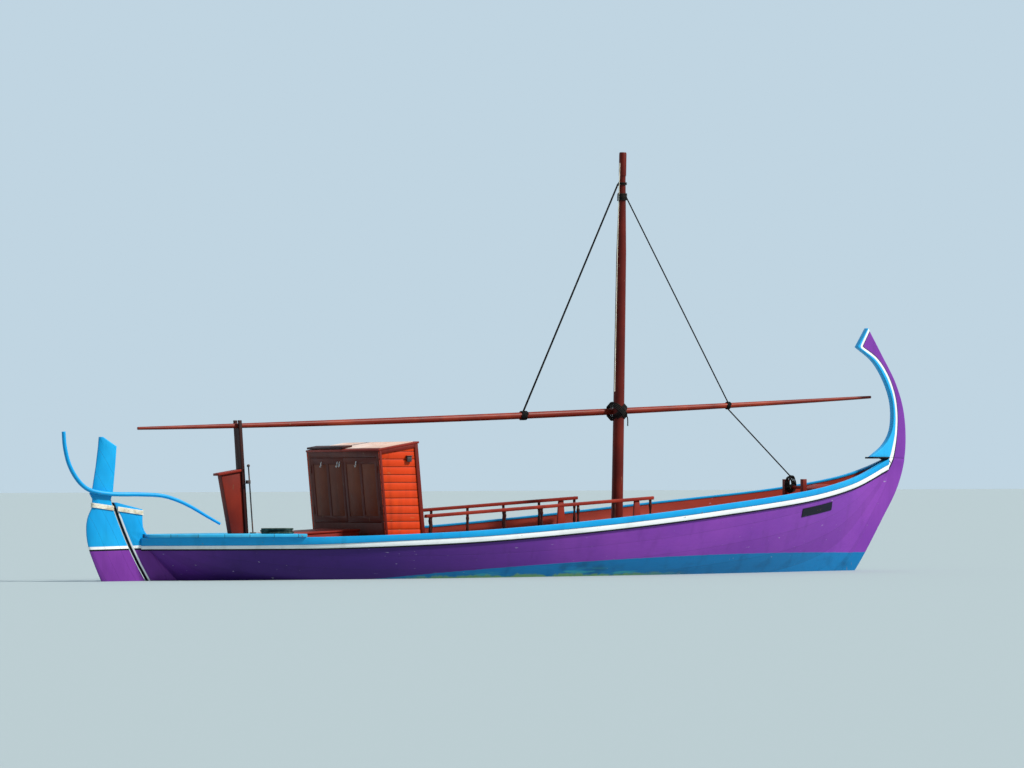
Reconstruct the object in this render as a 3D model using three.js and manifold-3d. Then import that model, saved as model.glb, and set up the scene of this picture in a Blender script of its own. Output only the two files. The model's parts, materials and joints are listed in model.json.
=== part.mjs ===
// Dhoni: a double ended wooden boat with a tall curved stem, a short mast, a stowed yard, a small
// cabin, a hung rudder and an inboard engine.
// Millimetres. X runs forward, Y to port, Z up. The origin is on the waterline at the centreline.

import * as THREE from "three";
import { mergeVertices } from "three/addons/utils/BufferGeometryUtils.js";
import Module from "manifold-3d";

const wasm = await Module();
wasm.setup();

// Driving dimensions

const GAP = 0.4; // between pieces that touch
const PLANK = 36; // hull planking
const POST_HALF = 45; // half thickness of stem and stern post
const KEEL_BOTTOM = -690;
const KEEL_JOINT = 3600; // keel meets stem and deadwood this far fore and aft

const DECK_TOP = 320;
const DECK_BOARD = 28;
const PLATFORM = { bottom: 526, top: 566, fore: -3250, aft: -4960, overhang: 24 };
const AFT_DECK_START = -3418; // the aft bulkhead stands here
const HOLD = { aft: -1440, fore: 1560, half: 780, coaming: 95, board: 24 };
const FOREDECK = { aft: 1960, fore: 5680, aftTop: 500, foreTop: 1150 };

const WHITE_STRAKE = { height: 65, below: 140, proud: 22 };
const GUNWALE = { height: 74, proud: 30, cap: 26, inner: 12 };

const CABIN = { aft: -2090, fore: -1540, half: 950, wall: 22, lean: 0.09, aftTop: 1575, roofSlope: 0.17 };
const ROOF = { over: 12, thick: 26 };
const DOOR = { bottom: 690, top: 1500, half: 870, thick: 28, clear: 5, stile: 62, rail: 80, sunk: 7 };
const ENGINE_BOX = { aft: -3200, fore: -2250, half: 520, aftTop: 541, foreTop: 588, wall: 20 };
const ENGINE_LID = { thick: 24, over: 10 };
const ENGINE_HATCH = { aft: -3100, fore: -2350, half: 430 };

const MAST = { foot: [1779, -426.5], head: [1922, 5440], head_radius: 48 };
const YARD = { aft: [-5050, 1858], fore: [5920, 2304], sag: 46, crutchY: 0, mastY: 124 };

const RUDDER_FOOT = -640;
const SEAM = { top: [-5380, 950], foot: [-4500, RUDDER_FOOT], bulge: 76 };
const RUDDER_CLEAR = 16; // running gap between stern post and rudder
const RUDDER_HALF = 30;

const SHAFT = { fore: [-2952, -110], aft: [-4500, -390], radius: 16 };
const TUBE = { fore: -3701, aft: -4341, radius: 30, bore: 16.8 };
const PROPELLER = { x: -4440, radius: 148, hubFore: 36, blades: 3 };

// Hull stations: place, half beam at the sheer, height of the sheer, height of the rabbet where the
// planks meet the keel, and how far the section goes from round (0) to a straight vee (1).
const STATIONS = [
  { x: -5010, beam: 54, sheer: 525, rabbet: 480, vee: 1 },
  { x: -4930, beam: 150, sheer: 525, rabbet: 405, vee: 1 },
  { x: -4720, beam: 330, sheer: 525, rabbet: 200, vee: 1 },
  { x: -4520, beam: 460, sheer: 525, rabbet: 0, vee: 0.95 },
  { x: -4200, beam: 640, sheer: 525, rabbet: -230, vee: 0.8 },
  { x: -3600, beam: 885, sheer: 525, rabbet: -420, vee: 0.55 },
  { x: -3000, beam: 1055, sheer: 526.5, rabbet: -510, vee: 0.35 },
  { x: -2000, beam: 1215, sheer: 550, rabbet: -560, vee: 0.15 },
  { x: -1000, beam: 1285, sheer: 588, rabbet: -570, vee: 0.05 },
  { x: 0, beam: 1300, sheer: 650, rabbet: -570, vee: 0 },
  { x: 1000, beam: 1285, sheer: 728, rabbet: -570, vee: 0.05 },
  { x: 2000, beam: 1215, sheer: 820, rabbet: -570, vee: 0.15 },
  { x: 3000, beam: 1055, sheer: 920, rabbet: -560, vee: 0.35 },
  { x: 3600, beam: 912, sheer: 980, rabbet: -545, vee: 0.5 },
  { x: 4200, beam: 722, sheer: 1044, rabbet: -490, vee: 0.7 },
  { x: 4600, beam: 570, sheer: 1096, rabbet: -400, vee: 0.85 },
  { x: 5000, beam: 405, sheer: 1162, rabbet: -215, vee: 0.95 },
  { x: 5300, beam: 275, sheer: 1224, rabbet: 50, vee: 1 },
  { x: 5500, beam: 190, sheer: 1278, rabbet: 310, vee: 1 },
  { x: 5740, beam: 108, sheer: 1364, rabbet: 690, vee: 1 },
  { x: 5900, beam: 66, sheer: 1432, rabbet: 960, vee: 1 },
  { x: 6010, beam: 54, sheer: 1478, rabbet: 1190, vee: 1 },
];
const SPACING = 520; // longest step between hull sections
const WIDE = 1600; // wider than the hull, for tools that are cut to it
const PLANK_TOP = GUNWALE.cap + GAP; // the planks end this far under the sheer
const RING_STEPS = 8; // points from keel to sheer

// Paints

const paint = (color, roughness = 0.6, metalness = 0) =>
  new THREE.MeshStandardMaterial({ color, roughness, metalness });
const PURPLE = paint(0x7d45b0, 0.4);
const SKY_BLUE = paint(0x2ab0ee, 0.4);
const WHITE = paint(0xf2f4f4, 0.45);
const RED_BROWN = paint(0xa5341f, 0.6);
const ORANGE = paint(0xd9481f, 0.55);
const DARK_BROWN = paint(0x4a2f26, 0.6);
const BARE_WOOD = paint(0x8a6a48, 0.8);
const DARK_ROPE = paint(0x1c2220, 0.95);
const PALE_ROPE = paint(0xd9cfae, 0.95);
const DARK_PLATE = paint(0x141c30, 0.5);
const IRON = paint(0x3a3a3c, 0.5, 0.8);
const BRONZE = paint(0x8f6a35, 0.4, 0.9);
const ENGINE_GREY = paint(0x5b646b, 0.5, 0.6);

// Solids: booleans and placing

function solidOf(geometry) {
  const bare = new THREE.BufferGeometry();
  bare.setAttribute("position", geometry.getAttribute("position").clone());
  if (geometry.index) bare.setIndex(geometry.index.clone());
  const merged = mergeVertices(bare, 1e-4);
  const mesh = new wasm.Mesh({
    numProp: 3,
    vertProperties: new Float32Array(merged.getAttribute("position").array),
    triVerts: new Uint32Array(merged.index.array),
  });
  return new wasm.Manifold(mesh);
}

function geometryOf(solid) {
  const mesh = solid.getMesh();
  const geometry = new THREE.BufferGeometry();
  geometry.setAttribute("position", new THREE.BufferAttribute(new Float32Array(mesh.vertProperties), 3));
  geometry.setIndex(new THREE.BufferAttribute(new Uint32Array(mesh.triVerts), 1));
  geometry.computeVertexNormals();
  return geometry;
}

const join = (...pieces) =>
  geometryOf(pieces.map(solidOf).reduce((whole, next) => whole.add(next)));
const cut = (piece, ...tools) =>
  geometryOf(tools.map(solidOf).reduce((rest, tool) => rest.subtract(tool), solidOf(piece)));
const common = (piece, other) => geometryOf(solidOf(piece).intersect(solidOf(other)));

// A box from its lowest to its highest corner.
function block(low, high) {
  const size = high.map((value, axis) => value - low[axis]);
  return new THREE.BoxGeometry(...size).translate(...high.map((value, axis) => (value + low[axis]) / 2));
}

// An outline in the X-Z plane made into a board between two places in Y.
function board(outline, fromY, toY) {
  const shape = outline instanceof THREE.Shape ? outline : new THREE.Shape(outline.map(toVector2));
  const raw = new THREE.ExtrudeGeometry(shape, {
    depth: toY - fromY,
    bevelEnabled: false,
    curveSegments: 3,
  });
  return raw.rotateX(Math.PI / 2).translate(0, toY, 0);
}

const toVector2 = ([x, z]) => new THREE.Vector2(x, z);

// A round bar between two points, with its own radius at each end.
function bar(from, to, radius, endRadius = radius, sides = 12) {
  const start = new THREE.Vector3(...from);
  const axis = new THREE.Vector3(...to).sub(start);
  const raw = new THREE.CylinderGeometry(endRadius, radius, axis.length(), sides);
  raw.translate(0, axis.length() / 2, 0);
  raw.applyQuaternion(
    new THREE.Quaternion().setFromUnitVectors(new THREE.Vector3(0, 1, 0), axis.clone().normalize()),
  );
  return raw.translate(...from);
}

// A round tube along a smooth line of points.
function tube(points, radius, steps, sides = 8) {
  const path = new THREE.CatmullRomCurve3(points.map((place) => new THREE.Vector3(...place)));
  const corners = [...Array(sides).keys()].map((side) => {
    const angle = (side / sides) * 2 * Math.PI;
    return new THREE.Vector2(radius * Math.cos(angle), radius * Math.sin(angle));
  });
  return new THREE.ExtrudeGeometry(new THREE.Shape(corners), {
    steps,
    extrudePath: path,
    bevelEnabled: false,
  });
}

// A turned piece about Z from a list of [radius, z], closed on its axis.
function turned(profile, sides = 16) {
  const closed = [[0, profile[0][1]], ...profile, [0, profile.at(-1)[1]]];
  return new THREE.LatheGeometry(closed.map(toVector2), sides).rotateX(Math.PI / 2);
}

// A skin over rings of points with closed ends. flat names the two axes in which the end rings
// are seen as outlines.
function loft(rings, flat) {
  const count = rings[0].length;
  const positions = rings.flat(2);
  const faces = [];
  for (let ring = 0; ring + 1 < rings.length; ring += 1) {
    for (let corner = 0; corner < count; corner += 1) {
      const next = (corner + 1) % count;
      const [a, b] = [ring * count + corner, ring * count + next];
      faces.push([a, b, b + count], [a, b + count, a + count]);
    }
  }
  for (const ring of [0, rings.length - 1]) {
    const outline = rings[ring].map((point) => new THREE.Vector2(point[flat[0]], point[flat[1]]));
    const turnOf = (corners) => Math.sign(THREE.ShapeUtils.area(corners.map((corner) => outline[corner])));
    const ringTurn = Math.sign(THREE.ShapeUtils.area(outline));
    const wanted = ring === 0 ? -ringTurn : ringTurn;
    for (const face of THREE.ShapeUtils.triangulateShape(outline, [])) {
      const ordered = turnOf(face) === wanted ? face : [...face].reverse();
      faces.push(ordered.map((corner) => ring * count + corner));
    }
  }
  const geometry = new THREE.BufferGeometry();
  geometry.setAttribute("position", new THREE.BufferAttribute(new Float32Array(positions), 3));
  geometry.setIndex(faces.flat());
  return facingOut(geometry);
}

// Turns every face over when the closed skin encloses a negative volume.
function facingOut(geometry) {
  const place = geometry.getAttribute("position");
  const index = geometry.index.array;
  const [a, b, c] = [new THREE.Vector3(), new THREE.Vector3(), new THREE.Vector3()];
  let volume = 0;
  for (let face = 0; face < index.length; face += 3) {
    a.fromBufferAttribute(place, index[face]);
    b.fromBufferAttribute(place, index[face + 1]);
    c.fromBufferAttribute(place, index[face + 2]);
    volume += a.dot(b.cross(c));
  }
  if (volume < 0) {
    const turnedOver = [];
    for (let face = 0; face < index.length; face += 3) {
      turnedOver.push(index[face], index[face + 2], index[face + 1]);
    }
    geometry.setIndex(turnedOver);
  }
  geometry.computeVertexNormals();
  return geometry;
}

// Hull form

// A value of the station table at any place, on a smooth curve through the table.
function along(column, x) {
  const last = STATIONS.length - 1;
  let low = STATIONS.findIndex((station, row) => row < last && x <= STATIONS[row + 1].x);
  if (low < 0) low = last - 1;
  const slope = (row) => {
    const [before, after] = [STATIONS[Math.max(row - 1, 0)], STATIONS[Math.min(row + 1, last)]];
    return (after[column] - before[column]) / (after.x - before.x);
  };
  const [start, end] = [STATIONS[low], STATIONS[low + 1]];
  const span = end.x - start.x;
  const t = (x - start.x) / span;
  const rise = end[column] - start[column];
  const bend = t * (1 - t) * ((1 - t) * (slope(low) * span - rise) - t * (slope(low + 1) * span - rise));
  return start[column] + rise * t + bend;
}

const SECTIONS = STATIONS.slice(1).reduce((places, station, row) => {
  const start = STATIONS[row].x;
  const steps = Math.ceil((station.x - start) / SPACING);
  for (let step = 1; step <= steps; step += 1) places.push(start + ((station.x - start) * step) / steps);
  return places;
}, [STATIONS[0].x]);

const sectionsBetween = (from, to) => [from, ...SECTIONS.filter((x) => x > from + 1 && x < to - 1), to];

// Half breadth of the outside of the planking at a place and height.
function breadth(x, z) {
  const [beam, sheer, rabbet] = ["beam", "sheer", "rabbet"].map((column) => along(column, x));
  const vee = Math.min(along("vee", x), 1);
  const depth = Math.min(Math.max((sheer - z) / (sheer - rabbet), 0), 1);
  const cosine = depth ** (1 / (1.3 + 0.6 * vee));
  const sine = Math.sqrt(1 - cosine * cosine);
  return POST_HALF + 1 + (beam - POST_HALF - 1) * sine ** (0.85 + vee);
}

// Points from keel to a little under the sheer at one section: outside of the planks when inset is
// 0, else a skin that much further in.
function side(x, inset, under = 0) {
  const [sheer, rabbet] = [along("sheer", x), along("rabbet", x)];
  const bend = 1.3 + 0.6 * Math.min(along("vee", x), 1);
  const top = sheer - under;
  const low = Math.min(rabbet + inset, top - 4);
  return [...Array(RING_STEPS + 1).keys()].map((step) => {
    const rise = 1 - Math.cos(((step / RING_STEPS) * Math.PI) / 2) ** bend;
    const z = low + (top - low) * rise;
    return [Math.max(breadth(x, z) - inset, 3), z];
  });
}

// The whole space inside a skin that lies inset from the outside of the planks, drawn in a little
// more by clear on every side.
function hullSpace(inset, clear) {
  return loft(
    SECTIONS.map((x) => {
      const sheer = along("sheer", x);
      const skin = side(x, inset, PLANK_TOP).map(([y, z]) => [Math.max(y - clear, 2), z + clear]);
      const points = [...skin, [skin.at(-1)[0], sheer + WIDE]];
      const port = points.map(([y, z]) => [x, y, z]).reverse();
      const starboard = points.map(([y, z]) => [x, -y, z]);
      return [...port, ...starboard];
    }),
    [1, 2],
  );
}

// A strip along one side: rows of [y, z] corners worked out at each section.
function strip(from, to, corners, sign) {
  return loft(
    sectionsBetween(from, to).map((x) => corners(x).map(([y, z]) => [x, sign * y, z])),
    [1, 2],
  );
}

// The hull as if it were filled up to the top of its planks, a gap larger all round.
function filledHull() {
  return loft(
    SECTIONS.map((x) => {
      const skin = side(x, 0, PLANK_TOP).map(([y, z]) => [y + GAP, z]);
      skin[0][1] -= GAP;
      skin[RING_STEPS][1] += GAP;
      const port = skin.map(([y, z]) => [x, y, z]);
      return [...port, ...port.map(([, y, z]) => [x, -y, z]).reverse()];
    }),
    [1, 2],
  );
}

const INSIDE = hullSpace(PLANK, GAP);
const FILLED = filledHull();

// How far in a strip is drawn before it is cut to the planks.
const BITE = 8;
const bitten = (x, z) => Math.max(breadth(x, z) - BITE, POST_HALF + GAP);

function hullPlanking() {
  const rings = SECTIONS.map((x) => {
    const outer = side(x, 0, PLANK_TOP);
    const inner = side(x, PLANK, PLANK_TOP);
    return [
      ...outer.map(([y, z]) => [x, y, z]),
      ...[...inner].reverse().map(([y, z]) => [x, y, z]),
      ...inner.map(([y, z]) => [x, -y, z]),
      ...[...outer].reverse().map(([y, z]) => [x, -y, z]),
    ];
  });
  return cut(loft(rings, [1, 2]), shaftBar(TUBE.radius + GAP));
}

const rabbetLine = (from, to) =>
  sectionsBetween(from, to).map((x) => [x, along("rabbet", x) - GAP]);

function keel() {
  const outline = [
    [-KEEL_JOINT + GAP, KEEL_BOTTOM],
    [KEEL_JOINT - GAP, KEEL_BOTTOM],
    ...rabbetLine(-KEEL_JOINT + GAP, KEEL_JOINT - GAP).reverse(),
  ];
  return board(outline, -POST_HALF, POST_HALF);
}

// Outer edge of the stem from the keel joint up to the head, then its inner edge down to the sheer.
const STEM_OUTER = [
  [4150, -668], [4700, -560], [5150, -290], [5490, 30], [5920, 690], [6170, 1120],
  [6292, 1560], [6282, 2060], [6150, 2480], [5920, 2870], [5706, 3218],
];
const STEM_INNER = [
  [5542, 2962], [5800, 2780], [5970, 2550], [6080, 2290], [6108, 2060], [6076, 1840], [5960, 1660],
  [5750, 1520],
];
const SHELF = { aft: 5735, fore: SECTIONS.at(-1), bottom: 1482, top: 1504, half: 92 };

function stem() {
  const shape = new THREE.Shape();
  shape.moveTo(KEEL_JOINT, KEEL_BOTTOM);
  shape.splineThru(STEM_OUTER.map(toVector2));
  shape.lineTo(...STEM_INNER[0]);
  shape.splineThru(STEM_INNER.slice(1).map(toVector2));
  shape.lineTo(SHELF.aft + 15, SHELF.top + GAP);
  shape.lineTo(SHELF.fore + GAP, SHELF.top + GAP);
  for (const [x, z] of rabbetLine(KEEL_JOINT, SHELF.fore + GAP).reverse()) shape.lineTo(x, z);
  return board(shape, -POST_HALF, POST_HALF);
}

function bowShelf() {
  return block([SHELF.aft, -SHELF.half, SHELF.bottom], [SHELF.fore, SHELF.half, SHELF.top]);
}

// Point of the seam between stern post and rudder at a share of its length from the top.
function seamAt(share) {
  const [top, foot] = [SEAM.top, SEAM.foot];
  const swell = SEAM.bulge * Math.sin(Math.PI * Math.min(share * 1.08, 1));
  return [
    top[0] + (foot[0] - top[0]) * share - swell,
    top[1] + (foot[1] - top[1]) * share,
  ];
}

// Place of the seam at a height, with an even line below its foot.
function seamX(z) {
  const share = (SEAM.top[1] - z) / (SEAM.top[1] - SEAM.foot[1]);
  if (share > 1) return SEAM.foot[0];
  return seamAt(Math.max(share, 0))[0];
}

const APERTURE = { aft: -4600, fore: -4345, bottom: -556, top: -226 };

const HEEL = { top: -600, aft: -4425 }; // the post is cut back here for the heel iron

const POST_HEAD = { fore: -4990, foreZ: 872, aftZ: 958 };

// How far the post's fore edge reaches forward at some heights, where it stands on the platform.
const KNEE = [
  [720, 0], [660, 6], [612, 24], [PLATFORM.top + 2 * GAP, 58], [PLATFORM.top + GAP, 0], [526.2, 0],
];

// The stern post stands on the keel and closes the hull aft, with its after edge rounded off.
function sternPost() {
  const ring = (fore, foreZ, aft, aftZ) => [
    [fore, POST_HALF, foreZ],
    [aft + 44, POST_HALF, aftZ],
    [aft + 14, 32, aftZ],
    [aft, 13, aftZ],
    [aft, -13, aftZ],
    [aft + 14, -32, aftZ],
    [aft + 44, -POST_HALF, aftZ],
    [fore, -POST_HALF, foreZ],
  ];
  const rows = [ring(POST_HEAD.fore, POST_HEAD.foreZ, seamX(SEAM.top[1]), POST_HEAD.aftZ)];
  for (const [z, out] of KNEE) rows.push(ring(POST_HEAD.fore + out, z, seamX(z), z));
  rows.push(ring(SECTIONS[0] - GAP, 525.4, seamX(525.4), 525.4));
  for (const [x, z] of rabbetLine(SECTIONS[0], -KEEL_JOINT)) rows.push(ring(x - GAP, z, seamX(z), z));
  for (const z of [-520, HEEL.top]) rows.push(ring(-KEEL_JOINT - GAP, z, seamX(z), z));
  for (const z of [HEEL.top - 4, KEEL_BOTTOM]) rows.push(ring(-KEEL_JOINT - GAP, z, HEEL.aft, z));
  const whole = loft(rows, [0, 1]);
  const aperture = block(
    [APERTURE.aft, -POST_HALF * 2, APERTURE.bottom],
    [APERTURE.fore, POST_HALF * 2, APERTURE.top],
  );
  return cut(whole, aperture, shaftBar(TUBE.radius + GAP, TUBE.fore + 140, TUBE.aft - 80));
}

function gunwale(sign) {
  const corners = (x) => {
    const sheer = along("sheer", x);
    const low = sheer - GUNWALE.height;
    const cap = sheer - GUNWALE.cap;
    const inner = Math.max(breadth(x, sheer) - PLANK - GUNWALE.inner, 8);
    return [
      [bitten(x, low), low],
      [breadth(x, low) + GUNWALE.proud, low],
      [breadth(x, sheer) + GUNWALE.proud, sheer],
      [inner, sheer],
      [inner, cap],
      [bitten(x, cap), cap],
    ];
  };
  return cut(strip(SECTIONS[0], SECTIONS.at(-1), corners, sign), FILLED);
}

// A board on the outside of the planks between two heights under the sheer.
function outerBoard(from, to, below, height, proud, sign) {
  const corners = (x) => {
    const low = along("sheer", x) - below;
    const high = low + height;
    return [
      [bitten(x, low), low],
      [breadth(x, low) + proud, low],
      [breadth(x, high) + proud, high],
      [bitten(x, high), high],
    ];
  };
  return cut(strip(from, to, corners, sign), FILLED);
}

function whiteStrake(sign) {
  const { below, height, proud } = WHITE_STRAKE;
  return outerBoard(SECTIONS[0], SECTIONS.at(-1), below, height, proud, sign);
}

const PLATE = { aft: 4250, fore: 4870, below: 335, height: 110, proud: 8 };
const numberPlate = (sign) =>
  outerBoard(PLATE.aft, PLATE.fore, PLATE.below, PLATE.height, PLATE.proud, sign);

// Decks

const foredeckTop = (x) =>
  FOREDECK.aftTop +
  ((x - FOREDECK.aft) * (FOREDECK.foreTop - FOREDECK.aftTop)) / (FOREDECK.fore - FOREDECK.aft);

const deckHeight = (x) => (x < FOREDECK.aft ? DECK_TOP : foredeckTop(x));

const deckSlab = (from, to) =>
  common(block([from, -WIDE, DECK_TOP - DECK_BOARD], [to, WIDE, DECK_TOP]), INSIDE);

const CABIN_FLOOR_FORE = -1500;

function aftDeck() {
  const { aft, fore, half } = ENGINE_HATCH;
  return cut(deckSlab(AFT_DECK_START, CABIN_FLOOR_FORE), block([aft, -half, 0], [fore, half, WIDE]));
}

function sideDeck() {
  const hatch = block([HOLD.aft, -HOLD.half, 0], [HOLD.fore, HOLD.half, WIDE]);
  return cut(deckSlab(CABIN_FLOOR_FORE + GAP, FOREDECK.aft - 30), hatch, mastBar(6));
}

// A board on edge all round the hold.
function holdCoaming() {
  const inner = block([HOLD.aft, -HOLD.half, 200], [HOLD.fore, HOLD.half, WIDE]);
  const outer = block(
    [HOLD.aft - HOLD.board, -HOLD.half - HOLD.board, DECK_TOP + GAP],
    [HOLD.fore + HOLD.board, HOLD.half + HOLD.board, DECK_TOP + HOLD.coaming],
  );
  return cut(outer, inner);
}

function foreDeck() {
  const top = [[FOREDECK.aft, FOREDECK.aftTop], [FOREDECK.fore, FOREDECK.foreTop]];
  const under = top.map(([x, z]) => [x, z - DECK_BOARD]).reverse();
  return common(board([...top, ...under], -WIDE, WIDE), INSIDE);
}

function foreBulkhead() {
  const outline = block(
    [FOREDECK.aft - 28, -WIDE, DECK_TOP - DECK_BOARD],
    [FOREDECK.aft - GAP, WIDE, FOREDECK.aftTop],
  );
  return common(outline, INSIDE);
}

function aftBulkhead() {
  const outline = block(
    [AFT_DECK_START - 32, -WIDE, DECK_TOP - DECK_BOARD],
    [AFT_DECK_START - GAP, WIDE, PLATFORM.bottom - GUNWALE.cap - 3],
  );
  return common(outline, INSIDE);
}

// The raised platform at the stern, flush over the gunwales.
function aftPlatform() {
  const edge = (x) => breadth(x, along("sheer", x)) + GUNWALE.proud + PLATFORM.overhang;
  const port = sectionsBetween(PLATFORM.aft, PLATFORM.fore).map((x) => [x, edge(x)]);
  const outline = [...port, ...port.map(([x, y]) => [x, -y]).reverse()];
  const raw = new THREE.ExtrudeGeometry(new THREE.Shape(outline.map(toVector2)), {
    depth: PLATFORM.top - PLATFORM.bottom,
    bevelEnabled: false,
  });
  return raw.translate(0, 0, PLATFORM.bottom);
}

// Frames and what stands on them inside the hull

const FRAMES = { places: [-3340, -2500, -1660, -820, 20, 860, 1700, 2540, 3380], wide: 60, deep: 66 };
const KEELSON = { half: 62, deep: 105 };

function framesAndKeelson() {
  const ribTop = DECK_TOP - DECK_BOARD - GAP;
  const ribs = FRAMES.places
    .map((x) => solidOf(block([x, -WIDE, KEEL_BOTTOM], [x + FRAMES.wide, WIDE, ribTop])))
    .reduce((whole, next) => whole.add(next));
  const space = solidOf(INSIDE);
  const hollow = solidOf(hullSpace(PLANK + FRAMES.deep, 0));
  const rings = ribs.intersect(space).subtract(hollow);
  const beam = solidOf(
    board(
      [
        ...sectionsBetween(FRAMES.places[0], FRAMES.places.at(-1)).map((x) => [x, along("rabbet", x)]),
        ...sectionsBetween(FRAMES.places[0], FRAMES.places.at(-1) + 40)
          .map((x) => [x, along("rabbet", x) + PLANK + KEELSON.deep])
          .reverse(),
      ],
      -KEELSON.half,
      KEELSON.half,
    ),
  ).intersect(space);
  return geometryOf(rings.add(beam).subtract(solidOf(shaftBar(TUBE.radius + 6))));
}

const FLOOR = { aft: -1560, fore: 1500, top: -392, thick: 22 };

function holdFloor() {
  const slab = block([FLOOR.aft, -WIDE, FLOOR.top - FLOOR.thick], [FLOOR.fore, WIDE, FLOOR.top]);
  return common(slab, hullSpace(PLANK + FRAMES.deep, GAP));
}

const ENGINE = { aft: -2930, fore: -2060, half: 215, bottom: -250, top: 265 };

const BEARER = { near: 150, far: 235, beyond: 60, bottom: -460 };
const CROSS_BEARER = { aft: -2560, fore: -2480, half: 200, bottom: -330 };

function engineBearers() {
  const top = ENGINE.bottom - GAP;
  const beams = [-1, 1].map((sign) => {
    const [near, far] = [sign * BEARER.near, sign * BEARER.far];
    return block(
      [ENGINE.aft - BEARER.beyond, Math.min(near, far), BEARER.bottom],
      [ENGINE.fore + BEARER.beyond, Math.max(near, far), top],
    );
  });
  const { aft, fore, half, bottom } = CROSS_BEARER;
  const cross = block([aft, -half, bottom], [fore, half, top]);
  return common(join(...beams, cross), hullSpace(PLANK + FRAMES.deep, 2 * GAP));
}

function engine() {
  return block([ENGINE.aft, -ENGINE.half, ENGINE.bottom], [ENGINE.fore, ENGINE.half, ENGINE.top]);
}

// Shaft and propeller

const shaftZ = (x) =>
  SHAFT.fore[1] + ((x - SHAFT.fore[0]) * (SHAFT.aft[1] - SHAFT.fore[1])) / (SHAFT.aft[0] - SHAFT.fore[0]);

function shaftBar(radius, from = TUBE.fore + 1, to = TUBE.aft - 1) {
  return bar([from, 0, shaftZ(from)], [to, 0, shaftZ(to)], radius, radius, 16);
}

function sternTube() {
  const bore = shaftBar(TUBE.bore, TUBE.fore + 20, TUBE.aft - 20);
  return cut(shaftBar(TUBE.radius, TUBE.fore, TUBE.aft), bore);
}

// From just behind the engine to just before the hub.
function propellerShaft() {
  const slope = Math.atan2(SHAFT.fore[1] - SHAFT.aft[1], SHAFT.fore[0] - SHAFT.aft[0]);
  const head = ENGINE.aft - GAP - SHAFT.radius * Math.sin(slope);
  return shaftBar(SHAFT.radius, head, PROPELLER.x + (PROPELLER.hubFore + GAP) * Math.cos(slope));
}

const BLADE = { long: 64, chord: 48, thick: 7, pitch: 0.6 };

function propeller() {
  const hub = turned([[20, -46], [31, -34], [31, 30], [26, PROPELLER.hubFore]], 16);
  const blades = [...Array(PROPELLER.blades).keys()].map((blade) =>
    new THREE.SphereGeometry(1, 12, 8)
      .scale(BLADE.long, BLADE.chord, BLADE.thick)
      .rotateX(BLADE.pitch)
      .translate(PROPELLER.radius - BLADE.long, 0, 0)
      .rotateZ((blade / PROPELLER.blades) * 2 * Math.PI),
  );
  const slope = Math.atan2(SHAFT.fore[1] - SHAFT.aft[1], SHAFT.fore[0] - SHAFT.aft[0]);
  return join(hub, ...blades).rotateY(Math.PI / 2 - slope).translate(PROPELLER.x, 0, shaftZ(PROPELLER.x));
}

// Rudder

// Rows of the rudder from the head to the heel: height, after edge, and fore edge where it is
// above the seam.
const RUDDER_ROWS = [
  { z: 1755, aft: -5552, fore: -5500 },
  { z: 1640, aft: -5562, fore: -5318 },
  { z: 1400, aft: -5594, fore: -5338 },
  { z: 1120, aft: -5642, fore: -5366 },
  { z: 1070, aft: -5682, fore: -5372 },
  { z: 1000, aft: -5642, fore: -5398 },
  { z: 900, aft: -5646 },
  { z: 760, aft: -5708 },
  { z: 600, aft: -5722 },
  { z: 410, aft: -5692 },
  { z: 220, aft: -5620 },
  { z: 30, aft: -5536 },
  { z: -200, aft: -5420 },
  { z: -430, aft: -5300 },
  { z: RUDDER_FOOT, aft: -5180 },
];

function rudderBlade() {
  const rings = RUDDER_ROWS.map(({ z, aft, fore = seamX(z) - RUDDER_CLEAR * 1.15 }) => {
    const nose = Math.min(34, (fore - aft) / 3);
    const tail = Math.min(60, (fore - aft) / 3);
    return [
      [fore, 8, z],
      [fore - nose * 0.35, 22, z],
      [fore - nose, RUDDER_HALF, z],
      [aft + tail, RUDDER_HALF, z],
      [aft, 12, z],
      [aft, -12, z],
      [aft + tail, -RUDDER_HALF, z],
      [fore - nose, -RUDDER_HALF, z],
      [fore - nose * 0.35, -22, z],
      [fore, -8, z],
    ];
  });
  return loft(rings, [0, 1]);
}

const AXIS = (() => {
  const [dx, dz] = [SEAM.top[0] - SEAM.foot[0], SEAM.top[1] - SEAM.foot[1]];
  const length = Math.hypot(dx, dz);
  return [dx / length, dz / length];
})();

const axisPoint = (share) => [
  SEAM.foot[0] + AXIS[0] * share,
  0,
  SEAM.foot[1] + AXIS[1] * share,
];

// Places along the axis below its foot: under the blade, the bearing face, and the ends of the pin.
const PINTLE = { radius: 13, collar: 22, from: -6, face: -62, end: -98 };
const HEEL_PLATE = { aft: -5120, fore: -4462, half: 26, thick: 16 };
const SHOE = { aft: -4580, fore: -4050, half: 40, thick: 26, boss: 28 };

// The pin and collar under the heel of the rudder, with the plate that holds them to the blade.
function heelPintle() {
  const pin = bar(axisPoint(PINTLE.end + 4), axisPoint(PINTLE.from - 10), PINTLE.radius, PINTLE.radius, 14);
  const collar = bar(axisPoint(PINTLE.face + GAP), axisPoint(PINTLE.from), PINTLE.collar, PINTLE.collar, 14);
  const { aft, fore, half, thick } = HEEL_PLATE;
  const [low, high] = [RUDDER_FOOT - thick, RUDDER_FOOT - GAP];
  const plate = block([aft, -half, low], [fore, half, high]);
  const above = block([-5200, -100, high], [-4200, 100, 0]);
  return cut(join(pin, collar, plate), above);
}

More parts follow.
